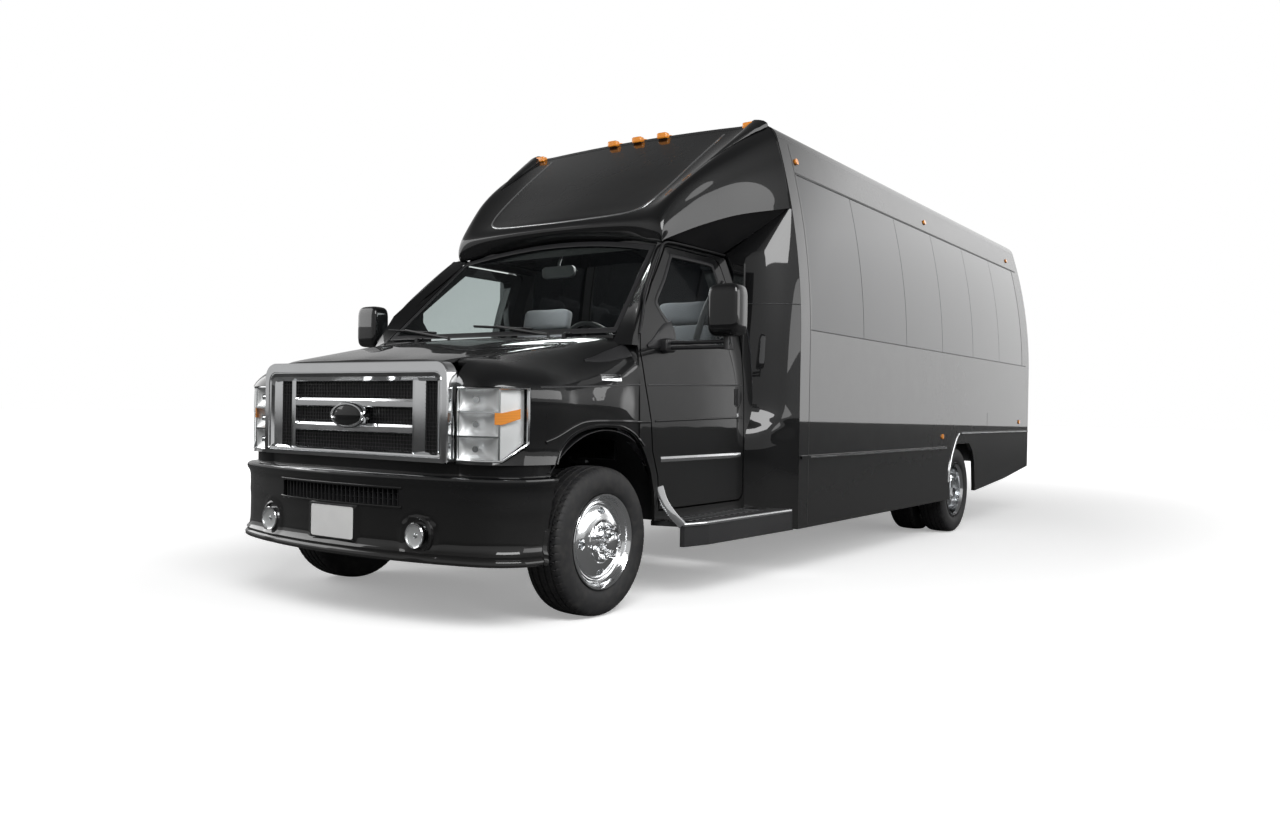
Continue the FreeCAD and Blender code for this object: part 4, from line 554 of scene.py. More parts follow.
def boxes(rows):
    # many small boxes at once: each row is x0, y0, z0, x1, y1, z1
    rows = np.asarray(rows, float)
    pick = np.array([[0, 1, 2], [3, 1, 2], [3, 4, 2], [0, 4, 2], [0, 1, 5], [3, 1, 5], [3, 4, 5], [0, 4, 5]])
    points = rows[:, pick] + fromAxle
    quads = np.array([[0, 3, 2, 1], [4, 5, 6, 7], [0, 1, 5, 4], [1, 2, 6, 5], [2, 3, 7, 6], [3, 0, 4, 7]])
    return points.reshape(-1, 3), (quads[None] + 8 * np.arange(len(rows))[:, None, None]).reshape(-1, 4)


def roundedRect(x0, z0, x1, z1, low, high, steps=9):
    # outline with one radius for the lower corners and one for the upper, counter-clockwise
    turns = np.linspace(0, math.pi / 2, steps)
    points = []
    for cx, cz, r, start in ((x1 - low, z0 + low, low, -90), (x1 - high, z1 - high, high, 0),
                             (x0 + high, z1 - high, high, 90), (x0 + low, z0 + low, low, 180)):
        a = turns + math.radians(start)
        points.append(np.column_stack([cx + r * np.cos(a), cz + r * np.sin(a)]))
    return np.vstack(points)


def ringShape(outer, inner, profile, place):
    # a frame: each profile point is (share of the way from outer to inner outline, depth)
    outer, inner = np.asarray(outer), np.asarray(inner)
    rows = [place(outer * (1 - f) + inner * f, depth) for f, depth in profile]
    return np.stack(rows), gridFaces(len(rows), len(outer), True, True)


def facing(flat, y):
    # (x, z) points stood up at a distance from the front axle
    return np.column_stack([flat[:, 0], np.full(len(flat), y + axleY), flat[:, 1]])


def strip(points, normals, width, height, sink=0.002):
    # a low moulding along a path on a surface: a half-round bead with its foot under the surface
    points = np.asarray(points, float)
    normals = np.broadcast_to(np.asarray(normals, float), points.shape)
    along = np.gradient(points, axis=0)
    along /= np.linalg.norm(along, axis=1)[:, None]
    across = np.cross(normals, along)
    across /= np.linalg.norm(across, axis=1)[:, None]
    width = np.broadcast_to(np.asarray(width, float), (len(points),))
    height = np.broadcast_to(np.asarray(height, float), (len(points),))
    loop = []
    for s, h in ((-1, 0), (-0.92, 0.55), (-0.55, 0.92), (0, 1), (0.55, 0.92), (0.92, 0.55), (1, 0)):
        loop.append(points + across * (s * width / 2)[:, None] + normals * (h * height)[:, None])
    for s in (1, -1):
        loop.append(points + across * (s * width / 2)[:, None] - normals * sink)
    loop = np.stack(loop, 1)
    count = loop.shape[1]
    faces = gridFaces(len(points), count, False, True).tolist()
    last = (len(points) - 1) * count
    return loop, faces + [list(range(count))[::-1], [last + i for i in range(count)]]


def surface(thing):
    # a search tree of a piece as it is finished, which rays can hit
    return BVHTree.FromObject(thing, bpy.context.evaluated_depsgraph_get())


def lay(tree, path, direction, count, far=2.0):
    # drop a smoothed path onto a CAD face: rays start far outside and run along direction
    line = smoothLine(path, count)
    direction = Vector(direction)
    spots, normals = [], []
    for p in line:
        start = Vector(p) + Vector((0, axleY, 0)) - direction * far
        hit, normal, _, _ = tree.ray_cast(start, direction)
        if hit is None:
            continue
        if normal.dot(direction) > 0:
            normal = -normal
        spots.append(hit)
        normals.append(normal)
    return np.array(spots), np.array(normals)


def mirrorX(shape):
    # the shape with x turned round; piece() sets the faces of closed shapes right again
    points, faces = shape
    points = np.array(points, float)
    points[..., 0] *= -1
    return points, faces


def bothSides(name, shapes, bodies, finish, **more):
    # the same piece on the left and, mirrored, on the right
    made = []
    for (label, side), body in zip(sides, bodies):
        parts = shapes if side > 0 else [mirrorX(s) for s in shapes]
        made.append(piece(name + label, parts, body, finish, **more))
    return made


shell = ("vehicle", "vehicle")
doors = ("door_leaf_left", "door_leaf_right")


# grille
grille = {"half": 0.666, "low": 0.760, "high": 1.222, "openHalf": 0.600, "openLow": 0.806, "openHigh": 1.132,
          "bars": (0.906, 1.026), "barHalf": 0.020, "blade": 0.443, "meshX": 0.0215, "meshZ": 0.0175,
          "emblemZ": 0.966}


def grillePieces():
    # a rounded frame ring, two bars between upright blades, a mesh of wires and a blank oval
    g = grille
    outer = roundedRect(-g["half"], g["low"], g["half"], g["high"], 0.014, 0.070)
    inner = roundedRect(-g["openHalf"], g["openLow"], g["openHalf"], g["openHigh"], 0.016, 0.030)
    profile = [(0, -0.700), (0, -0.748), (0.05, -0.757), (0.50, -0.7575), (0.53, -0.754), (0.57, -0.754),
               (0.60, -0.7565), (0.78, -0.7555), (1, -0.736), (1, -0.700)]
    frameRing = ringShape(outer, inner, profile, facing)
    surround = piece("grilleSurround", [frameRing], "vehicle", "chrome", angle=24)
    bars, edges = [], []
    for z in g["bars"]:
        h = g["barHalf"]
        bars.append(slab([(-0.702, z - h), (-0.736, z - h), (-0.742, z - h + 0.005), (-0.742, z + h - 0.010),
                          (-0.735, z + h), (-0.702, z + h)], -g["blade"], g["blade"]))
        edges.append(slab([(-0.7425, z + h - 0.011), (-0.7445, z + h - 0.009), (-0.737, z + h + 0.002),
                           (-0.733, z + h)], -g["blade"], g["blade"]))
    piece("grilleBars", bars, "vehicle", "bright_steel", bevel=0.001)
    piece("grilleBarEdges", edges, "vehicle", "chrome")
    blades = []
    for side in (1, -1):
        plan = [(0.428, -0.702), (0.430, -0.742), (0.436, -0.750), (0.450, -0.750), (0.486, -0.716),
                (0.486, -0.702)]
        wall = [(0.600, -0.702), (0.600, -0.745), (0.594, -0.745), (0.574, -0.716), (0.574, -0.702)]
        for outline in (plan, wall):
            flat = [(side * x, y) for x, y in outline]
            blades.append(slab(flat, g["openLow"] - 0.002, g["openHigh"] + 0.002, "Z"))
    piece("grilleBlades", blades, "vehicle", "chrome")
    wires = []
    for z in np.arange(g["openLow"] + 0.012, g["openHigh"] - 0.004, g["meshZ"]):
        wires.append((-0.602, -0.718, z - 0.0016, 0.602, -0.708, z + 0.0016))
    for x in np.arange(-0.5805, 0.5905, g["meshX"]):
        wires.append((x - 0.0013, -0.716, 0.800, x + 0.0013, -0.710, 1.140))
    wires.append((-0.640, -0.7035, 0.790, 0.640, -0.668, 1.180))
    piece("grilleMesh", [boxes(wires)], "vehicle", "black_trim")
    angle = np.linspace(0, 2 * math.pi, 96, endpoint=False)
    oval = np.column_stack([0.118 * np.cos(angle), g["emblemZ"] + 0.062 * np.sin(angle)])
    small = np.column_stack([0.104 * np.cos(angle), g["emblemZ"] + 0.049 * np.sin(angle)])
    middle = np.array([0, g["emblemZ"]])
    ring = [(0, -0.730), (0, -0.770), (0.25, -0.776), (0.75, -0.776), (1, -0.770), (1, -0.730)]
    piece("emblemRing", [ringShape(oval, small, ring, facing)], "vehicle", "chrome")
    rows = []
    for f, y in ((1.0, -0.700), (1.0, -0.768), (0.97, -0.770), (0.7, -0.7725), (0.35, -0.774), (0, -0.7745)):
        rows.append(facing(small * f + middle * (1 - f), y))
    rows.insert(0, facing(small * 0 + middle, -0.700))
    plain = (np.stack(rows), gridFaces(len(rows), len(angle), False, True))
    piece("emblemPlain", [plain], "vehicle", "gloss_black")
    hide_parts("grille")
    print("grille")


# headlamps
lamp = {"inner": 71.0, "outer": 13.2, "cutFrom": 31.0, "low": 0.7735, "lift": 0.083, "high": 1.1045,
        "cells": 3, "split": 0.66, "centre": (0.600, -0.470), "angles": (0.0, 30.0, 62.0, 86.0),
        "reach": (0.394, 0.356, 0.274, 0.226)}


def lampPoint(angle, z, inset):
    # the wing's nose: distance from a centre in plan as a cubic in the angle from the side
    fit = np.polyfit(lamp["angles"], lamp["reach"], 3)
    r = np.polyval(fit, angle) + 0.003 - 0.004 * ((z - 0.94) / 0.2) ** 2 - inset
    a = np.radians(angle)
    x, y = lamp["centre"]
    return np.stack([x + r * np.cos(a), y - r * np.sin(a) + axleY, z + 0 * a], -1)


def lampGrid(u, v):
    # u from the grille outwards, v upwards; the lower outer corner is cut off
    angle = lamp["inner"] + (lamp["outer"] - lamp["inner"]) * u
    share = np.clip((lamp["cutFrom"] - angle) / (lamp["cutFrom"] - lamp["outer"]), 0, 1)
    low = lamp["low"] + lamp["lift"] * share
    return angle, low + (lamp["high"] - low) * v


def lampPatch(u0, u1, v0, v1, inset, rows=30, columns=40):
    # an open sheet over a part of the lamp; its inset is a number or a function of the two shares
    u, v = np.meshgrid(np.linspace(u0, u1, columns), np.linspace(v0, v1, rows))
    angle, z = lampGrid(u, v)
    depth = inset(u, v) if callable(inset) else np.full(u.shape, inset)
    return lampPoint(angle, z, depth), gridFaces(rows, columns)


def lampBox(u0, u1, v0, v1, near, far, steps=14):
    # a closed plate under the lens between two insets
    u, v = np.meshgrid(np.linspace(u0, u1, steps), [v0, v1])
    angle, z = lampGrid(u, v)
    front, back = lampPoint(angle, z, near), lampPoint(angle, z, far)
    loop = np.stack([front[0], front[1], back[1], back[0]], 1)
    faces = gridFaces(steps, 4, False, True).tolist()
    last = 4 * (steps - 1)
    return loop, faces + [[3, 2, 1, 0], [last, last + 1, last + 2, last + 3]]


def bowls(u, v):
    # three stacked bowls: depth falls away from each cell's middle
    p = np.clip((u - 0.03) / (lamp["split"] - 0.06) * 2 - 1, -1, 1)
    cell = v * lamp["cells"]
    q = np.clip(((cell - np.floor(np.clip(cell, 0, lamp["cells"] - 1e-6))) * 2 - 1) * 1.1, -1, 1)
    return 0.014 + 0.044 * np.sqrt((1 - p ** 2) * (1 - q ** 2))


def headlampPieces():
    # reflector bowls, side plate, housing, amber block, ribs, bulbs and a rim along the lens outline
    reflector = lampPatch(0.02, lamp["split"], 0.02, 0.98, bowls, 61, 41)
    slope = lambda u, v: 0.016 + 0.016 * (u - lamp["split"]) / 0.3
    plain = lampPatch(lamp["split"], 0.985, 0.02, 0.98, slope, 12, 20)
    back = lampBox(0.005, 0.995, 0.005, 0.995, 0.060, 0.066, 24)
    amber = lampBox(0.60, 0.90, 0.50, 0.66, 0.004, 0.014)
    ribs = [lampBox(0.03, lamp["split"], k / 3 - 0.012, k / 3 + 0.012, 0.008, 0.020) for k in (1, 2)]
    ribs += [lampBox(lamp["split"] - 0.012, lamp["split"] + 0.012, 0.02, 0.98, 0.006, 0.030)]
    bulbs = []
    for k in range(lamp["cells"]):
        angle, z = lampGrid(np.array([0.345]), np.array([(k + 0.5) / 3]))
        spot = lampPoint(angle, z, np.array([0.036]))[0] - fromAxle
        profile = [(0.018, 0.0), (0.018, 0.014), (0.0, 0.016), (-0.012, 0.013), (-0.020, 0.0)]
        points, faces = turnedShape(profile, 20, (0, 0, 0))
        a = math.radians(90 - angle[0])
        x, y = points[..., 0].copy(), points[..., 1] - axleY
        points = np.stack([x * math.sin(a) - y * math.cos(a) + spot[0], -x * math.cos(a) - y * math.sin(a)
                           + spot[1] + axleY, points[..., 2] + spot[2]], -1)
        bulbs.append((points, faces))
    u = np.concatenate([np.linspace(0, 1, 40), np.full(18, 1.0), np.linspace(1, 0, 40), np.full(18, 0.0)])
    rise, fall = np.linspace(0, 1, 20)[1:-1], np.linspace(1, 0, 20)[1:-1]
    v = np.concatenate([np.full(40, 0.0), rise, np.full(40, 1.0), fall])
    wide = np.column_stack([u, v])
    slim = np.column_stack([0.5 + (u - 0.5) * 0.955, 0.5 + (v - 0.5) * 0.950])
    profile = [(0, 0.006), (0, -0.0045), (0.35, -0.006), (0.8, -0.005), (1, -0.003), (1, 0.006)]
    rim = ringShape(wide, slim, profile,
                    lambda flat, inset: lampPoint(*lampGrid(flat[:, 0], flat[:, 1]), inset))
    bothSides("lampReflector", [reflector], shell, "chrome", closed=False, look="lamp_mirror")
    bothSides("lampPlate", [plain], shell, "bright_steel", closed=False, look="lamp_mirror")
    bothSides("lampHousing", [back], shell, "interior_grey")
    bothSides("lampAmber", [amber], shell, "lamp_amber")
    bothSides("lampRibs", ribs, shell, "bright_steel")
    bothSides("lampBulbs", bulbs, shell, "bright_steel")
    bothSides("lampRim", [rim], shell, "chrome")
    print("headlamps")


def spinY(profile, steps, x, y, z):
    # a closed (depth, radius) profile turned about an axis along the vehicle
    points, faces = turnedShape(profile, steps, (0, 0, 0))
    local = points - fromAxle
    return np.stack([local[..., 1] + x, local[..., 0] + y + axleY, local[..., 2] + z], -1), faces


# bumper
bumper = {"bow": 2.7695, "front": 0.842, "slotHalf": 0.424, "slotLow": 0.558, "slotHigh": 0.638,
          "finGap": 0.030, "plateHalf": 0.1524, "plateRise": 0.0762, "plateZ": 0.462,
          "fogX": 0.531, "fogZ": 0.434,
          "pocketHalf": 0.105, "pocketRise": 0.100, "pocketDepth": 0.006, "padHalf": 0.162, "padRise": 0.085,
          "padY": -0.8478, "thick": 0.016, "ends": -0.394}


def bumperFace(x):
    # the bumper's middle is an arc in plan; this is its face, from the front axle
    return bumper["bow"] - bumper["front"] - np.sqrt(bumper["bow"] ** 2 - x ** 2)


def bumperPieces():
    # fins and ledges of the slot, the blank plate and its holder, and fog lamps turned lengthwise
    b = bumper
    fins = []
    for x in np.arange(-0.405, 0.406, b["finGap"]):
        y = bumperFace(x)
        fins.append((x - 0.0022, y + 0.010, b["slotLow"] - 0.001,
                     x + 0.0022, y + 0.050, b["slotHigh"] + 0.001))
    for z in (b["slotLow"] + 0.027, b["slotLow"] + 0.054):
        for x in np.arange(-0.42, 0.42, 0.06):
            y = bumperFace(x + 0.03)
            fins.append((x, y + 0.022, z - 0.002, x + 0.06, y + 0.046, z + 0.002))
    piece("bumperFins", [boxes(fins)], "vehicle", "black_trim")
    x = np.linspace(-b["slotHalf"] - 0.016, b["slotHalf"] + 0.016, 41)
    ledges = []
    for z, deep in ((b["slotHigh"] + 0.004, 0.007), (b["slotLow"] - 0.004, 0.009)):
        path = np.column_stack([x, bumperFace(x) + axleY, np.full(41, z)])
        ledges.append(strip(path, [0, -1.0, 0], 0.014, deep))
    piece("bumperSlotEdges", ledges, "vehicle", "gloss_black")
    plateOutline = roundedRect(-b["plateHalf"], b["plateZ"] - b["plateRise"], b["plateHalf"],
                               b["plateZ"] + b["plateRise"], 0.012, 0.012, 5)
    piece("blankPlate", [slab(plateOutline, -0.8502, -0.8482, "Y")], "vehicle", "bright_steel", bevel=0.0006,
          look="plate_white")
    grip = boxes([(-0.158, -0.8515, z, 0.158, b["padY"], z + 0.004) for z in (0.3815, 0.5385)])
    piece("plateHolder", [grip], "vehicle", "black_trim")
    face = bumperFace(b["fogX"])
    bowl = spinY([(-0.8145, 0.0535), (-0.8120, 0.048), (-0.8105, 0.038), (-0.8095, 0.020), (-0.8090, 0.0),
                  (-0.790, 0.0), (-0.790, 0.0535)], 48, b["fogX"], 0, b["fogZ"])
    bothSides("fogReflector", [bowl], shell, "chrome", look="lamp_mirror")
    ring = spinY([(-0.790, 0.0585), (-0.817, 0.0585), (-0.821, 0.0555), (-0.819, 0.0515), (-0.815, 0.0515),
                  (-0.814, 0.056), (-0.790, 0.056)], 56, b["fogX"], 0, b["fogZ"])
    bothSides("fogRim", [ring], shell, "chrome")
    bulb = spinY([(-0.808, 0.0), (-0.808, 0.014), (-0.811, 0.012), (-0.8135, 0.006), (-0.814, 0.0)],
                 20, b["fogX"], 0, b["fogZ"])
    bothSides("fogBulb", [bulb], shell, "bright_steel")
    bezel = spinY([(face + 0.012, 0.0725), (face - 0.004, 0.0735), (face - 0.007, 0.079), (face - 0.002, 0.088),
                  (face + 0.012, 0.088)], 56, b["fogX"], 0, b["fogZ"])
    bothSides("fogBezel", [bezel], shell, "gloss_black")
    print("bumper")


# trim laid on the cab, and strips of painted shade in its upper crease: where it lies, its slot, then for each
# strip the path as (y, z) in mm from the front axle, its width (or shares of the length and the widths there),
# its height and how many points it gets
cabLines = {
    "doorChrome": ("door", "chrome", ([(455, 757), (800, 757), (1310, 757)], 0.030, 0.005, 40)),
    "doorCrease": ("door", "gloss_black", ([(405, 958), (800, 968), (1325, 981)], 0.012, 0.0035, 40)),
    # the groove strips on the door and on the wing are matte black lines of painted shade, where the upper
    # crease throws its shadow
    "doorGrooveShade": ("door", "black_trim", ([(340, 1144), (800, 1157), (1325, 1170)], 0.009, 0.0015, 40)),
    "wingGrooveShade": ("wing", "black_trim", ([(-500, 1112), (-200, 1122), (60, 1134), (268, 1143)],
                                          0.009, 0.0015, 40)),
    "wingFlare": ("wing", "gloss_black", ([(-455, 862), (-384, 884), (-261, 932), (-148, 955), (95, 957),
                                           (268, 954), (355, 955)], 0.016, 0.006, 60)),
    "archLip": ("wing", "gloss_black", ([(-392, 760), (-340, 838), (-262, 893), (-160, 925), (-68, 938),
                                         (96, 932), (225, 892), (300, 832)], 0.012, 0.007, 60)),
    "doorHandle": ("door", "black_trim", ([(1268, 1042), (1270, 1100), (1272, 1158)], 0.046, 0.004, 12),
                   ([(1262, 1052), (1264, 1100), (1266, 1148)], 0.020, 0.017, 12)),
    "doorLock": ("door", "bright_steel", ([(1272, 985), (1272, 995), (1272, 1003)], 0.022, 0.004, 4)),
    "plainBadge": ("wing", "chrome", ([(-42, 1171), (30, 1171), (104, 1171)], 0.036, 0.0045, 12)),
    "doorSeal": ("door", "black_trim", ([(622, 1386), (900, 1386), (1205, 1386), (1240, 1396), (1250, 1430),
                                         (1250, 1850), (1238, 1878), (1200, 1888), (1000, 1888), (815, 1886),
                                         (778, 1868), (640, 1730), (508, 1606), (512, 1560), (560, 1500),
                                         (622, 1452), (622, 1386)], 0.020, 0.004, 150)),
    "sailTrim": ("door", "black_trim", ([(352, 1345), (440, 1372), (540, 1420), (610, 1425)],
                                        ((0, 0.45, 1), (0.020, 0.085, 0.150)), 0.006, 24)),
    "cowlTrim": ("wing", "black_trim", ([(-92, 1250), (0, 1262), (110, 1290), (215, 1318)],
                                        ((0, 0.5, 1), (0.014, 0.060, 0.080)), 0.005, 20)),
}
dripRail = [(0.992, 0.262, 1.405), (0.957, 0.335, 1.512), (0.926, 0.405, 1.622), (0.886, 0.515, 1.742),
            (0.836, 0.655, 1.880), (0.812, 0.745, 1.948), (0.802, 0.86, 1.966), (0.799, 1.15, 1.972),
            (0.797, 1.44, 1.974)]


def cabTrim():
    # each path is dropped onto its panel and carries a half-round strip; the drip rail is a tube
    trees = {"door": surface(nodes["cab_door_left"]), "wing": surface(nodes["cab_shell"])}
    bodies = {"door": doors, "wing": shell}
    for name, (where, finish, *lines) in cabLines.items():
        strips = []
        for path, width, height, count in lines:
            if isinstance(width, tuple):
                width = np.interp(np.linspace(0, 1, count), *width)
            spots = lay(trees[where], [(1.2, y / 1000, z / 1000) for y, z in path], (-1, 0, 0), count)
            strips.append(strip(*spots, width, height))
        bothSides(name, strips, bodies[where], finish)
    bothSides("dripRail", [tubeShape(smoothLine(dripRail, 60), 0.0065, 10)], shell, "black_trim")
    print("cab trim")


# windshield border and wiper blades
screen = {"half": 0.866, "taper": 0.124, "topHalf": 0.742, "bow": 0.034, "foot": (0.232, 1.404),
          "rise": (0.534, 0.540), "facing": (0, -0.711, 0.703), "arch": 0.128, "borderArch": 0.072 / 0.540,
          "blades": (-0.330, 0.420)}


def screenHalf(t):
    # half width at a share of the way up the pillars: it narrows evenly
    return screen["half"] - screen["taper"] * t


def screenPoint(x, t, lift):
    # t is the share of the way up the pillars; the middle bows forward as t grows
    (footY, footZ), (riseY, riseZ) = screen["foot"], screen["rise"]
    y = footY + riseY * t - screen["bow"] * t * (1 - (x / screenHalf(t)) ** 2)
    return np.stack([x + 0 * t, y + axleY, footZ + riseZ * t], -1) + lift * np.array(screen["facing"])


def screenPieces():
    # border strips along the screen's edges, wiper blades and the inside mirror
    out = screen["facing"]
    s = np.linspace(-screen["topHalf"], screen["topHalf"], 50)
    top = 1.0 + screen["borderArch"] * (1 - (s / screen["topHalf"]) ** 2)
    upper = strip(screenPoint(s * 0.985, top - 0.026, 0.0), out, 0.044, 0.002)
    t = np.linspace(0.03, 0.985, 30)
    side = strip(screenPoint(screenHalf(t) - 0.018, t, 0.0), out, 0.030, 0.002)
    x = np.linspace(-0.855, 0.855, 40)
    lower = strip(screenPoint(x, np.full(40, 0.045), 0.0), out, 0.040, 0.0022)
    piece("screenBorder", [upper, lower, side, mirrorX(side)], "vehicle", "black_trim")
    blades = []
    for x0 in screen["blades"]:
        x = np.linspace(x0 - 0.62, x0 - 0.15, 16)
        t = 0.075 + 0.06 * (x0 - 0.15 - x) / 0.47
        blades.append(strip(screenPoint(x, t, 0.004), out, 0.010, 0.012))
    piece("wiperBlades", blades, "vehicle", "black_trim")
    outline = roundedRect(-0.125, -0.035, 0.125, 0.035, 0.028, 0.028)
    glassBack = slab([(x, z + 1.845) for x, z in outline], 0.800, 0.822, "Y")
    stalk = tubeShape([(0, 0.812, 1.86), (0, 0.815, 1.90), (0, 0.835, 1.945)], 0.008)
    piece("insideMirror", [glassBack, stalk], "vehicle", "black_trim", bevel=0.002)
    print("windshield border")


# body trim
def bodyTrim():
    wall = surface(nodes["body_side_left"])

    def on(path, width, height, count):
        spots = lay(wall, [(1.6, y / 1000, z / 1000) for y, z in path], (-1, 0, 0), count)
        return strip(*spots, width, height, 0.003)

    def lines(start):
        # the window band's upper and lower lines begin behind the corner strip, or behind the entry door
        marks = [start, 3500, 5200, 6930]
        return [on([(1786, z) for z in (320, 900, 1450, 1900, 2300, 2700)], 0.005, 0.0012, 60),
                on([(5592, 876), (5592, 960), (5592, 1040)], 0.004, 0.001, 8),
                on([(y, 2514) for y in marks], 0.016, 0.0016, 60),
                on([(y, 1529) for y in marks], 0.007, 0.0012, 60)]

    for (label, side), start in zip(sides, (1800, 2665)):
        seams = lines(start)
        rails = [slab([(max(start / 1000, 1.690), 0.735), (4.410, 0.735), (4.410, 0.746),
                       (max(start / 1000, 1.690), 0.746)], 1.231, 1.2336),
                 slab([(4.800, 0.854), (6.990, 0.854), (6.990, 0.865), (4.800, 0.865)], 1.231, 1.2336)]
        if side < 0:
            seams, rails = [mirrorX(s) for s in seams], [mirrorX(s) for s in rails]
        piece("bodySeams" + label, seams, "vehicle", "black_trim")
        piece("rubRailInsert" + label, rails, "vehicle", "bright_steel")
    path = [(4.506, 0.45), (4.520, 0.55), (4.570, 0.66), (4.652, 0.765), (4.725, 0.838), (4.80, 0.858)]
    legs = smoothLine([(1.2205, y, z) for y, z in path], 40) + fromAxle
    bothSides("archBand", [strip(legs, [1.0, 0, 0], 0.026, 0.009)], shell, "bright_steel")
    print("body trim")


# running boards
def boardPieces():
    top = 0.431
    ribs, holes = [], []
    for k in range(9):
        inner = 0.965 + 0.021 * k
        start = 0.50 + max(0, (inner - 1.02)) * 0.9
        ribs.append((inner - 0.004, start, top - 0.001, inner + 0.004, 1.360 + 0.02, top + 0.005))
    for k in range(12):
        y = 0.56 + 0.068 * k
        holes.append((0.985, y, top + 0.0045, 1.125, y + 0.028, top + 0.0062))
    bothSides("boardTread", [boxes(ribs)], shell, "black_trim")
    bothSides("boardGrips", [boxes(holes)], shell, "tread_aluminium")
    edge = smoothLine([(1.118, 0.512, 0.418), (1.150, 0.62, 0.418), (1.163, 0.72, 0.418),
                       (1.177, 1.1, 0.418), (1.198, 1.60, 0.418)], 50) + fromAxle
    bothSides("boardEdge", [strip(edge, [1.0, 0, 0], 0.020, 0.008)], shell, "bright_steel")
    rise = smoothLine([(1.115, 0.508, 0.415), (1.075, 0.474, 0.47), (1.030, 0.455, 0.54),
                       (1.004, 0.448, 0.615)], 24) + fromAxle
    bothSides("boardRiser", [strip(rise, [0.5, -0.86, 0], 0.045, 0.008)], shell, "bright_steel")
    print("running boards")


# seats
seats = {"columns": 44, "rows": 17, "seam": 0.010}


def cushion(x0, y0, z0, x1, y1, z1, crown=0.018, channels=3):
    # outline is a squared ellipse, section a rounded pillow; channels are pressed along its length
    columns, rows = seats["columns"], seats["rows"]
    turn = np.linspace(0, 2 * math.pi, columns, endpoint=False)
    squared = np.stack([np.sign(np.cos(turn)) * np.abs(np.cos(turn)) ** 0.30,
                        np.sign(np.sin(turn)) * np.abs(np.sin(turn)) ** 0.30])
    s = np.linspace(-math.pi / 2, math.pi / 2, rows)
    spread = np.abs(np.cos(s)) ** 0.38
    rise = np.sign(np.sin(s)) * np.abs(np.sin(s)) ** 0.38
    x = squared[0][None] * spread[:, None]
    y = squared[1][None] * spread[:, None]
    dome = crown * (1 - x ** 2) * (1 - y ** 2)
    nearSeam = np.exp(-((np.mod((x + 1) * channels / 2, 1) - 0.5) * 9) ** 2)
    grooves = seats["seam"] * nearSeam * (np.abs(x) < 0.86)
    z = rise[:, None] * (z1 - z0) / 2 + np.where(rise[:, None] > 0, dome - grooves, -0.2 * dome)
    points = np.stack([(x0 + x1) / 2 + x * (x1 - x0) / 2, (y0 + y1) / 2 + y * (y1 - y0) / 2,
                       (z0 + z1) / 2 + z], -1)
    return points, gridFaces(rows, columns, False, True)


def seatParts(width, depth, height, thick, lean, places, x, y, z, side):
    # one bench: a cushion and a reclined back per place, and a head roll
    soft = []
    each = width / places
    for k in range(places):
        a = -width / 2 + each * k + 0.006
        b = a + each - 0.012
        pad, faces = cushion(a, -0.004, 0.302, b, depth - 0.01, 0.300 + thick)
        soft.append((pad, faces))
        back, faces = cushion(a, 0, -0.045, b, height - 0.30 - 0.150, 0.045, 0.014)
        roll, _ = cushion(a + 0.05, height - 0.30 - 0.145, -0.040, b - 0.05, height - 0.30, 0.036, 0.010, 1)
        slope = math.atan2(lean - 0.03, height - 0.30)
        for part in (back, roll):
            up, out = part[..., 1], part[..., 2]
            turned = np.stack([part[..., 0], depth + 0.02 + up * math.sin(slope) - out * math.cos(slope),
                               0.305 + up * math.cos(slope) + out * math.sin(slope)], -1)
            soft.append((turned, faces))
    return [(points * [side, 1, 1] + [x, y + axleY, z], faces) for points, faces in soft]


def seatPieces():
    # cab seats, then rows of double seats with bases and arm rests, and the cab's belts
    soft, hard = [], []
    for side in (1, -1):
        soft += seatParts(0.500, 0.470, 0.980, 0.130, 0.190, 1, side * 0.560, 0.745, 0.7203, side)
        low = sorted((side * 0.370, side * 0.660))
        hard.append((low[0], 0.810, 0.7206, low[1], 1.170, 1.020))
    cab = piece("cabSeatCushions", soft, "vehicle", "seat_fabric", angle=60)
    piece("cabSeatBases", [boxes(hard)], "vehicle", "interior_grey", bevel=0.006)
    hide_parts("cab_seats")
    soft, hard = [], []
    for side, rows, start in ((1, 6, 1.900), (-1, 5, 2.780)):
        for i in range(rows):
            y = start + 0.8 * i
            soft += seatParts(0.880, 0.440, 1.040, 0.120, 0.230, 2, side * 0.700, y, 0.8003, side)
            low = sorted((side * 0.320, side * 0.580))
            hard.append((low[0], y + 0.06, 0.8006, low[1], y + 0.40, 1.101))
            arm = sorted((side * 0.255, side * 0.285))
            hard.append((arm[0], y + 0.16, 1.335, arm[1], y + 0.50, 1.365))
    rear = piece("passengerCushions", soft, "vehicle", "seat_fabric", angle=60)
    piece("passengerSeatBases", [boxes(hard)], "vehicle", "interior_grey", bevel=0.005)
    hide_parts("passenger_seats")
    belts = []
    for side in (1, -1):
        line = smoothLine([(side * 0.86, 1.30, 1.80), (side * 0.80, 1.22, 1.62), (side * 0.72, 1.20, 1.30),
                           (side * 0.80, 1.16, 1.02)], 24) + fromAxle
        belts.append(strip(line, [0, -1.0, 0], 0.046, 0.002, 0.001))
    piece("seatBelts", belts, "vehicle", "black_trim")
    print("seats")


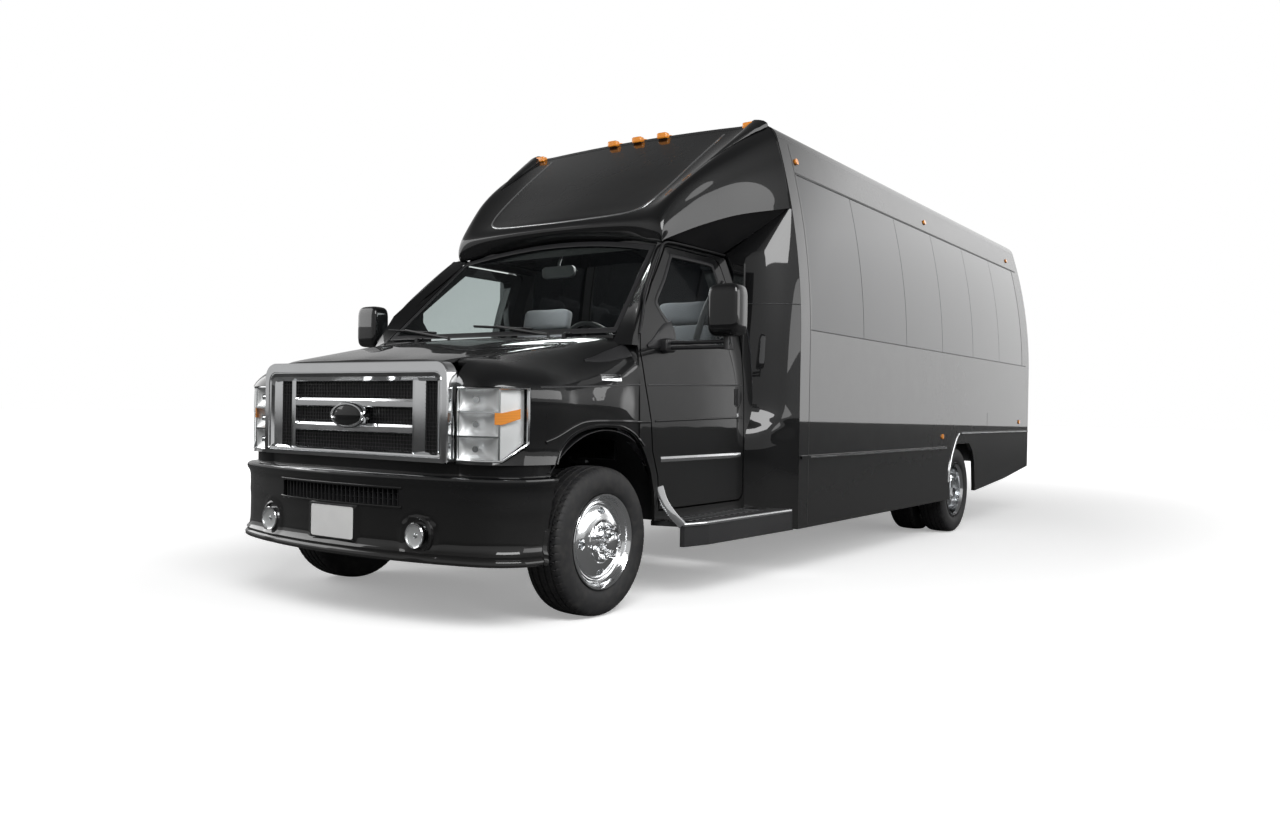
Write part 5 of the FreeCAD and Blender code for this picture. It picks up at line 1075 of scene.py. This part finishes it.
def sheetShape(grid, thickness, inside, keep=None):
    # a curved panel: the grid is its outer face, and its back lies one thickness nearer to a point inside
    grid = np.asarray(grid, float)
    rows, columns = grid.shape[:2]
    normal = np.cross(np.gradient(grid, axis=1), np.gradient(grid, axis=0))
    normal /= np.maximum(np.linalg.norm(normal, axis=2), 1e-12)[..., None]
    normal *= np.sign(np.sum(normal * (grid - np.array(inside) - fromAxle)))
    count = rows * columns
    faces = gridFaces(rows, columns)
    if keep is not None:
        faces = faces[np.asarray(keep).reshape(-1)]
    edges = np.stack([faces, np.roll(faces, -1, 1)], -1).reshape(-1, 2)
    key = edges.min(1) * count + edges.max(1)
    _, first, times = np.unique(key, return_index=True, return_counts=True)
    rim = edges[first[times == 1]]
    walls = np.column_stack([rim[:, 1], rim[:, 0], rim[:, 0] + count, rim[:, 1] + count])
    points = np.concatenate([grid.reshape(-1, 3), (grid - normal * thickness).reshape(-1, 3)])
    return points, np.concatenate([faces, faces[:, ::-1] + count, walls]).tolist()


def splineGrid(rows, across, along):
    # a smooth grid through a few rows of control points
    rows = [smoothLine(row, across) for row in rows]
    return np.stack([smoothLine(column, along) for column in np.stack(rows, 1)], 1)


# cap over the cab: control points of the left half of each section, from the foot to the centre line
cap = {"thick": 0.014, "sections": [
    [(0.781, 0.786, 1.970), (0.762, 0.792, 1.968), (0.700, 0.800, 1.980),
     (0.480, 0.822, 2.012), (0, 0.842, 2.034)],
    [(0.786, 0.760, 1.962), (0.766, 0.765, 1.958), (0.702, 0.771, 1.968),
     (0.480, 0.796, 2.004), (0, 0.816, 2.029)],
    [(0.788, 0.757, 1.966), (0.787, 0.748, 1.996), (0.738, 0.744, 2.036),
     (0.520, 0.756, 2.070), (0, 0.770, 2.084)],
    [(0.793, 0.772, 1.975), (0.797, 0.766, 2.062), (0.744, 0.768, 2.122),
     (0.545, 0.778, 2.130), (0, 0.790, 2.141)],
    [(0.834, 0.880, 2.026), (0.830, 0.880, 2.160), (0.784, 0.880, 2.256),
     (0.590, 0.880, 2.218), (0, 0.880, 2.222)],
    [(0.899, 1.050, 2.099), (0.890, 1.050, 2.280), (0.846, 1.050, 2.408),
     (0.650, 1.050, 2.358), (0, 1.050, 2.362)],
    [(0.992, 1.290, 2.183), (0.975, 1.290, 2.412), (0.908, 1.290, 2.576),
     (0.680, 1.290, 2.550), (0, 1.290, 2.556)],
    [(1.131, 1.652, 2.268), (1.068, 1.652, 2.574), (0.968, 1.652, 2.790),
     (0.720, 1.652, 2.822), (0, 1.652, 2.838)],
]}


def capPieces():
    # half sections are mirrored and splined to a sheet, and its trim and a strip of painted shade are dropped
    # onto it from above
    rows = []
    for half in cap["sections"]:
        rows.append(half + [(-x, y, z) for x, y, z in half[-2::-1]])
    grid = splineGrid(rows, 97, 71) + fromAxle
    panel = sheetShape(grid, cap["thick"], (0, 1.6, 1.9))
    made = piece("frontCapPanel", [panel], "vehicle", "gloss_black", angle=60)
    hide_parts("front_cap")
    foot = smoothLine([row[0] for row in cap["sections"][2:]], 40)
    share = np.clip((foot[:, 1] - 1.462) / (1.640 - 1.462), 0, 1)
    inner = np.column_stack([0.776 + 0.335 * share, np.minimum(foot[:, 1], 1.640), 1.990 + 0.262 * share])
    outer = foot + [-0.008, 0, 0.006]
    outer[:, 1] = inner[:, 1]
    soffit = np.stack([inner * (1 - k) + outer * k for k in np.linspace(0, 1, 6)]) + fromAxle
    bothSides("capSoffit", [sheetShape(soffit, 0.006, (0.9, 1.2, 2.6))], shell, "black_trim", angle=60)
    tree = surface(made)
    bead = [(0.704, 1.566), (0.684, 1.30), (0.652, 1.02), (0.606, 0.868), (0.530, 0.812), (0.40, 0.797),
            (0.2, 0.793)]
    path = bead + [(0.0, 0.792)] + [(-x, y) for x, y in bead[::-1]]
    line = lay(tree, [(x, y, 3.0) for x, y in path], (0, 0, -1), 170, 0.5)
    piece("capBead", [strip(*line, 0.013, 0.005)], "vehicle", "bright_steel")
    joint = lay(tree, [(x, 1.618, 3.0) for x in (-0.9, -0.5, 0, 0.5, 0.9)], (0, 0, -1), 60, 0.5)
    piece("capJoint", [strip(*joint, 0.006, 0.0015)], "vehicle", "black_trim")
    crest = [(0.915, 1.640), (0.890, 1.50), (0.862, 1.33), (0.838, 1.19)]
    spots, normals = lay(tree, [(x, y, 3.0) for x, y in crest], (0, 0, -1), 28, 0.5)
    taper = np.linspace(1, 0, 28)
    pod = strip(spots, normals, 0.012 + 0.115 * taper, 0.003 + 0.030 * taper)
    bothSides("capPod", [pod], shell, "gloss_black")
    # the matte black strip in the valley beside each pod is painted shade, where the valley lies in shadow
    valley = [(0.848, 1.635), (0.832, 1.50), (0.820, 1.33), (0.822, 1.17)]
    spots, normals = lay(tree, [(x, y, 3.0) for x, y in valley], (0, 0, -1), 28, 0.5)
    bothSides("capValleyShade", [strip(spots, normals, 0.004 + 0.014 * taper, 0.0016)], shell, "black_trim")
    lenses = [cushion(x - 0.038, 1.598, z, x + 0.038, 1.646, z + 0.041, 0.0, 0) for x, z in
              ((-0.850, 2.786), (-0.203, 2.8115), (0.0, 2.8115), (0.203, 2.8115), (0.850, 2.786))]
    lenses = [(points + fromAxle, faces) for points, faces in lenses]
    piece("clearanceLenses", lenses, "vehicle", "lamp_amber", angle=60)
    print("cap")


# fairings from the cab's side out to the body
fairing = {"thick": 0.016, "joint": 1.66, "front": [
    (1.003, 1.366, 0.310), (1.003, 1.364, 0.606), (1.003, 1.367, 0.860), (1.002, 1.420, 0.965),
    (0.999, 1.452, 1.060), (0.990, 1.460, 1.268), (0.955, 1.462, 1.520), (0.870, 1.464, 1.800),
    (0.790, 1.466, 1.985), (0.948, 1.550, 2.120), (1.112, 1.638, 2.262)]}
bodyWall = {"half": 1.220, "straight": 1.45, "arc": 4.4}


def bodyHalf(z):
    # the body's half width: upright to the end of the straight, then an arc inwards
    arc = bodyWall["arc"]
    above = np.clip(np.asarray(z) - bodyWall["straight"], 0, None)
    return bodyWall["half"] - arc + np.sqrt(arc ** 2 - above ** 2)


def fairingPieces():
    # straight lines from the cab's edge to the body's, swollen by a sine of the share across
    front = np.vstack([smoothLine(fairing["front"][:9], 50)[:-1], smoothLine(fairing["front"][8:], 20)])
    rear = np.column_stack([bodyHalf(front[:, 2]) - 0.0015, np.full(len(front), 1.6525), front[:, 2]])
    s = np.linspace(0, 1, 26)[:, None, None]
    wide = np.linalg.norm(rear - front, axis=1)[None, :, None]
    low = np.clip((0.98 - front[:, 2]) / 0.12, 0, 1)[None, :, None]
    swell = (0.12 - 0.05 * low) * wide * np.sin(np.pi * s) + 0.02 * low * wide * np.sin(2 * np.pi * s)
    grid = front[None] * (1 - s) + rear[None] * s + swell * np.array([0.80, -0.60, 0])
    panel = sheetShape(np.transpose(grid, (1, 0, 2)) + fromAxle, fairing["thick"], (0.6, 2.0, 1.2))
    made = bothSides("fairing", [panel], shell, "gloss_black", angle=50)
    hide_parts("fairings")
    seam = grid[:, int(np.argmin(np.abs(front[:60, 2] - fairing["joint"])))] + fromAxle
    normals = [0.75, -0.66, 0.05]
    bothSides("fairingSeam", [strip(seam, normals, 0.006, 0.0022)], shell, "black_trim")
    print("fairings")


# bumper: a section carried along a bowed plan, with a slot, dished lamp pockets and a flat pad for the plate
bumperPath = [(0, -0.842), (0.2, -0.8348), (0.4, -0.8130), (0.6, -0.7770), (0.74, -0.7420), (0.84, -0.7080),
              (0.915, -0.6620), (0.970, -0.5980), (0.997, -0.5250), (1.003, -0.4600), (1.003, -0.394)]
bumperSection = [(0.015, 0.312), (0.024, 0.318), (0.025, 0.334), (0.020, 0.341), (0.015, 0.345),
                 (0.015, 0.352), (0.019, 0.358), (0.012, 0.366), (0.004, 0.376), (0.001, 0.400), (0, 0.430),
                 (0, 0.460), (0, 0.490), (0, 0.520), (0.002, 0.545), (0.003, 0.558), (0.002, 0.5981),
                 (0.003, 0.638), (0.005, 0.650), (0.010, 0.664), (0.017, 0.674), (0.020, 0.686),
                 (0.017, 0.697), (0.006, 0.704), (-0.020, 0.708), (-0.060, 0.711), (-0.100, 0.714)]


def bumperShell():
    # the path is sampled by its length, and each section point moves out along the path's normal
    b = bumper
    half = smoothLine(np.column_stack([bumperPath, np.zeros(len(bumperPath))]), 400)[:, :2]
    length = np.concatenate([[0], np.cumsum(np.linalg.norm(np.diff(half, axis=0), axis=1))])
    marks = np.concatenate([np.linspace(0, b["slotHalf"], 25), np.linspace(0.43, length[-1], 75)])
    half = np.column_stack([np.interp(marks, length, half[:, 0]), np.interp(marks, length, half[:, 1])])
    line = np.vstack([half[:0:-1] * [-1, 1], half])
    along = np.gradient(line, axis=0)
    along /= np.linalg.norm(along, axis=1)[:, None]
    outward = np.column_stack([along[:, 1], -along[:, 0]])
    section = np.array(bumperSection)
    flat = line[None] + outward[None] * section[:, :1, None]
    z = np.broadcast_to(section[:, 1, None], flat.shape[:2])
    x, y = flat[..., 0].copy(), flat[..., 1].copy()
    end = b["ends"] - 0.082 * np.clip((0.726 - z) / 0.361, 0, 1.2)
    side = np.abs(x) > 0.99
    y = np.where(side, np.minimum(y, end), y)
    across, up = (np.abs(x) - b["fogX"]) / b["pocketHalf"], (z - b["fogZ"]) / b["pocketRise"]
    away = np.sqrt(across ** 2 + up ** 2)
    y = y - b["pocketDepth"] * np.clip((1.10 - away) / 0.25, 0, 1)
    pad = (np.abs(x) < b["padHalf"]) & (np.abs(z - b["plateZ"]) < b["padRise"])
    y = np.where(pad, b["padY"], y)
    grid = np.stack([x, y + axleY, z], -1)
    middle = (section[:-1, 1] + section[1:, 1]) / 2
    spread = np.abs((line[:-1, 0] + line[1:, 0]) / 2)
    inside = (middle > b["slotLow"]) & (middle < b["slotHigh"])
    slot = inside[:, None] & (spread < b["slotHalf"] - 0.0005)[None]
    shape = sheetShape(grid, b["thick"], (0, 0, 0.5), ~slot)
    made = piece("bumperCover", [shape], "vehicle", "gloss_black", angle=40)
    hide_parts("front_bumper")
    back = boxes([(-0.520, -0.752, 0.535, 0.520, -0.746, 0.660)])
    brackets = boxes([(x, -0.770, 0.520, x + 0.044, -0.640, 0.600) for x in (0.412, -0.456)])
    piece("bumperBeam", [back, brackets], "vehicle", "black_trim")
    turn = np.radians(np.linspace(71, 2, 40))
    nose = lampPoint(np.degrees(turn), np.full(40, 0.74), np.full(40, 0.020))
    front = np.array([(0, -0.742, 0), (0.30, -0.738, 0), (0.55, -0.730, 0)]) + [0, axleY, 0.74]
    tail = np.array([(0.972, -0.44, 0.74), (0.976, -0.402, 0.74)]) + fromAxle
    foot = np.vstack([front, nose, tail])
    grid = np.stack([foot + [0, 0, dz] for dz in (-0.035, 0.0, 0.030)])
    bothSides("noseValance", [sheetShape(grid, 0.006, (0, 0, 0.74))], shell, "gloss_black", angle=50)
    print("bumper cover")


liner = {"radius": 0.548, "thick": 0.004, "from": -50, "to": 84, "lipTo": 27}


def archLiners():
    # half-round sheets over the front wheels, and guessed upright plates inside the rear ones
    def hoop(x0, x1, last):
        a = np.radians(np.linspace(liner["from"], last, 60))
        y, z = liner["radius"] * np.sin(a) + axleY, stance["hub"] + liner["radius"] * np.cos(a)
        rows = [np.column_stack([np.full(60, x), y, z]) for x in np.linspace(x0, x1, 4)]
        return sheetShape(np.stack(rows), liner["thick"], (0.8, 0, stance["hub"]))

    parts = [hoop(0.560, 0.925, liner["to"]), hoop(0.925, 0.986, liner["lipTo"])]
    apron = boxes([(0.556, -0.43, 0.36, 0.560, 0.50, 0.70)])
    bothSides("archLiner", parts + [apron], shell, "black_trim", angle=50)
    walls = boxes([(0.640, 4.300, 0.450, 0.644, 5.360, 0.940), (0.640, 5.060, 0.380, 0.644, 5.360, 0.450),
                   (0.640, 4.300, 0.380, 0.644, 4.600, 0.450)])
    bothSides("rearArchLiner", [walls], shell, "black_trim")
    print("arch liners")


def screenPane():
    # the screen carried up to its arched top edge, and the header behind it
    k = np.linspace(0, 1, 14)[:, None]
    s = np.linspace(-1, 1, 41)[None]
    top = 1.0 + screen["arch"] * (1 - s ** 2)
    t = 0.02 + (top - 0.02) * k
    pane = sheetShape(screenPoint(s * screenHalf(t), t, 0.0), 0.006, (0, 1.2, 1.5))
    made = piece("screenPane", [pane], "vehicle", "clear_glass", angle=50)
    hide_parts("windshield")
    k = np.linspace(0, 1, 5)[:, None, None]
    x = np.linspace(-screen["topHalf"], screen["topHalf"], 41)
    out = (x / screen["topHalf"]) ** 2
    edge = screenPoint(x, 1.0 + screen["arch"] * (1 - out), -0.004)
    rear = np.column_stack([x, np.full(41, 0.834 + axleY), 2.010 - 0.055 * out])
    grid = edge[None] * (1 - k) + rear[None] * k
    piece("screenHeader", [sheetShape(grid, 0.006, (0, 0.8, 1.5))], "vehicle", "black_trim", angle=50)
    print("windshield")


# mirrors
mirror = {"armY": 0.520, "armZ": (1.372, 1.345), "post": 1.353, "armRadius": 0.010, "postRadius": 0.014}


def mirrorPieces():
    # a pillow-shaped head and foot, joined by two level tubes and an upright one
    m = mirror
    head = cushion(1.262, 0.466, 1.398, 1.442, 0.592, 1.664, 0.004, 0)
    rear = slab(roundedRect(1.282, 1.424, 1.424, 1.642, 0.03, 0.03), 0.588, 0.5935, "Y")
    arms = [tubeShape([(x, m["armY"], z) for x in (0.975, 1.10, m["post"])], m["armRadius"]) for z in m["armZ"]]
    arms.append(tubeShape([(m["post"], m["armY"], z) for z in (1.332, 1.37, 1.41)], m["postRadius"]))
    base = cushion(0.972, 0.470, 1.322, 1.022, 0.566, 1.394, 0.002, 0)
    for shape in (head, base):
        shape[0][..., 1] += axleY
    heads = bothSides("mirrorHead", [head], doors, "gloss_black", angle=60)
    for made, place in zip(heads, ("left", "right")):
        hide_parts("mirror_" + place)
    bothSides("mirrorArms", arms + [base], doors, "black_trim")
    bothSides("mirrorGlass", [rear], doors, "chrome", bevel=0.002)
    print("mirrors")


def soften():
    # edges of the plain CAD forms are broken a little, where light should catch them
    for name, width, count in (("rear_bumper", 0.008, 2), ("dashboard", 0.012, 3), ("tail_lamps", 0.004, 2),
                               ("running_boards", 0.002, 2), ("marker_lamps", 0.003, 2)):
        edge = nodes[name].modifiers.new("edge", "BEVEL")
        edge.width, edge.segments, edge.limit_method = width, count, "ANGLE"
        edge.angle_limit = math.radians(40)
    print("edges")


photoCamera()
studioScene()
clothe()
tyres()
wheels()
grillePieces()
headlampPieces()
bumperPieces()
cabTrim()
screenPieces()
bodyTrim()
boardPieces()
seatPieces()
capPieces()
fairingPieces()
bumperShell()
archLiners()
screenPane()
mirrorPieces()
soften()
